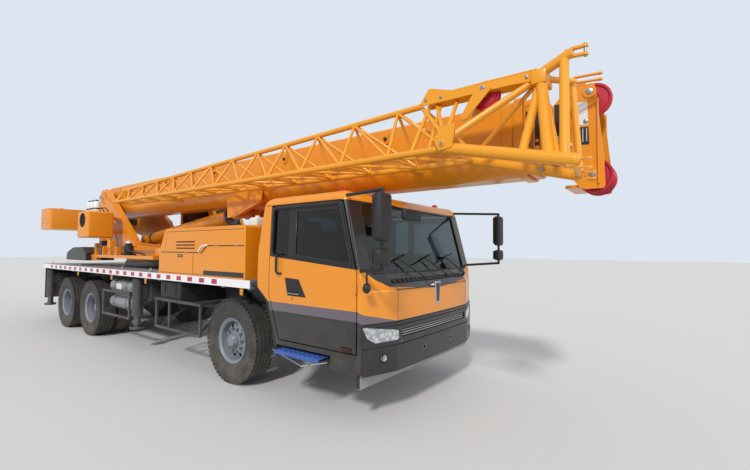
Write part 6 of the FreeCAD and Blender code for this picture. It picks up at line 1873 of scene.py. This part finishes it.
class MESH_OT_crane_cab_inside(bpy.types.Operator):
    """Build the driving cab's dash, steering wheel and seats"""
    bl_idname = "mesh.crane_cab_inside"
    bl_label = "Inside the driving cab"

    def execute(self, context):
        dash = Piece("cab_dash", "cab_lining", "carrier", "black_plastic")
        dash.plate(rounded([(3.74, 0.96), (3.64, 1.42, 0.06), (3.84, 1.45, 0.06), (3.98, 1.36),
            (3.98, 0.96)]), 1, -0.98, 0.98, 0.004)
        dash.plate(rounded([(3.66, 1.4), (3.7, 1.5, 0.04), (3.86, 1.47, 0.03), (3.88, 1.4)]), 1,
            0.38, 0.9, 0.004)
        for y in (-0.64, 0.64):
            dash.box((2.98, y - 0.22, 0.97), (3.4, y + 0.22, 1.25), 0.02, segments=2)
        dash.box((2.85, -0.3, 0.97), (3.5, 0.3, 1.16), 0.04, segments=3)
        dash.rod((3.3, 0.1, 1.15), (3.27, 0.12, 1.42), 0.012, 10)
        dash.ball((3.27, 0.12, 1.44), 0.028)
        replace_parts(dash.done(30), "cab_interior")
        wheel = Piece("steering_wheel", "black_abs", "carrier", "black_plastic")
        wheel.turned([(0.22 + 0.016 * math.cos(math.radians(45 * i)),
            0.016 * math.sin(math.radians(45 * i))) for i in range(8)], 2, (0, 0, 0), 40)
        wheel.rod((0, 0, -0.06), (0, 0, 0.02), 0.06, 24)
        for turn in (90, 210, 330):
            aim = Vector((math.cos(math.radians(turn)), math.sin(math.radians(turn)), 0))
            wheel.bar(aim * 0.04 - Vector((0, 0, 0.03)), aim * 0.215, 0.014, 0.03)
        wheel.rod((0, 0, -0.34), (0, 0, -0.04), 0.03, 14)
        bmesh.ops.transform(wheel.mesh, verts=wheel.mesh.verts[:], matrix=Matrix.Translation((3.54,
            0.64, 1.53)) @ Matrix.Rotation(math.radians(-28), 4, "Y"))
        wheel.done()
        for side, tag in ((-1, "right"), (1, "left")):
            y = 0.64 * side
            seat = Piece("driver_seat_" + tag, "seat_cloth", "carrier", "seat_cloth")
            cushion(seat, [(3.02, 1.25), (3.02, 1.34), (3.1, 1.375), (3.4, 1.385), (3.47, 1.35),
                (3.46, 1.27)], y, 0.245, 0.018)
            cushion(seat, [(3.06, 1.36), (2.9, 1.86), (2.93, 1.9), (2.99, 1.89), (3.04, 1.8), (3.15,
                1.39)], y, 0.235, 0.0)
            cushion(seat, [(2.9, 1.9), (2.87, 2.04), (2.93, 2.05), (2.97, 1.92)], y, 0.12, 0.0)
            pad_seat(seat, 30)
        return {"FINISHED"}


class MESH_OT_crane_opcab_inside(bpy.types.Operator):
    """Build the operator's seat with its base, levers and arm boxes"""
    bl_idname = "mesh.crane_opcab_inside"
    bl_label = "Inside the operator's cab"

    def execute(self, context):
        base = Piece("opcab_seat_base", "cab_lining", "turntable", "black_plastic")
        base.box((-2.16, 0.74, 1.57), (-1.84, 0.98, 1.93), 0.03, segments=2)
        for y in (0.585, 1.135):
            base.box((-2.12, y - 0.045, 1.96), (-1.72, y + 0.045, 2.13), 0.02, segments=2)
            base.rod((-1.8, y, 2.12), (-1.79, y, 2.27), 0.01, 10)
            base.ball((-1.79, y, 2.29), 0.024)
        base.box((-1.3, 0.66, 1.58), (-1.14, 1.06, 1.98), 0.03, segments=2)
        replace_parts(base.done(30), "opcab_seat")
        seat = Piece("operator_seat", "seat_cloth", "turntable", "seat_cloth")
        cushion(seat, [(-2.22, 1.93), (-2.23, 2.03), (-2.14, 2.07), (-1.8, 2.085), (-1.74, 2.04),
            (-1.76, 1.94)], 0.86, 0.225, 0.018)
        cushion(seat, [(-2.25, 2.03), (-2.38, 2.48), (-2.35, 2.54), (-2.28, 2.53), (-2.23, 2.44),
            (-2.13, 2.07)], 0.86, 0.215, 0.0)
        pad_seat(seat, 30)
        return {"FINISHED"}


STEPS = (MESH_OT_crane_finishes, MESH_OT_crane_frame_dress, SCENE_OT_crane_stage,
         MESH_OT_crane_tyres, MESH_OT_crane_rims, MESH_OT_crane_deck, MESH_OT_crane_hood,
         MESH_OT_crane_tanks, MESH_OT_crane_cab_body, MESH_OT_crane_bumper, MESH_OT_crane_mirrors,
         MESH_OT_crane_cab_sides, MESH_OT_crane_cab_front, MESH_OT_crane_guards,
         MESH_OT_crane_machinery, MESH_OT_crane_turntable, MESH_OT_crane_winches,
         MESH_OT_crane_opcab,
         MESH_OT_crane_boom_head, MESH_OT_crane_boom_fittings, MESH_OT_crane_jib,
         MESH_OT_crane_cab_inside, MESH_OT_crane_opcab_inside)


class VIEW3D_PT_crane(bpy.types.Panel):
    """The crane's builders in the sidebar"""
    bl_label = "Truck crane"
    bl_space_type = "VIEW_3D"
    bl_region_type = "UI"
    bl_category = "Crane"

    def draw(self, context):
        for step in STEPS:
            self.layout.operator(step.bl_idname)
        for group in (context.scene.crane_sizes, context.scene.crane_paints):
            for name in group.__annotations__:
                self.layout.prop(group, name)


GROUPS = (CranePaints, CraneSizes)


def register():
    for made in (*GROUPS, *STEPS, VIEW3D_PT_crane):
        bpy.utils.register_class(made)
    bpy.types.Scene.crane_paints = PointerProperty(type=CranePaints)
    bpy.types.Scene.crane_sizes = PointerProperty(type=CraneSizes)


def unregister():
    del bpy.types.Scene.crane_paints, bpy.types.Scene.crane_sizes
    for made in reversed((*GROUPS, *STEPS, VIEW3D_PT_crane)):
        bpy.utils.unregister_class(made)


def main():
    register()
    for step in STEPS:
        area, name = step.bl_idname.split(".")
        getattr(getattr(bpy.ops, area), name)()


if __name__ == "__main__":
    main()
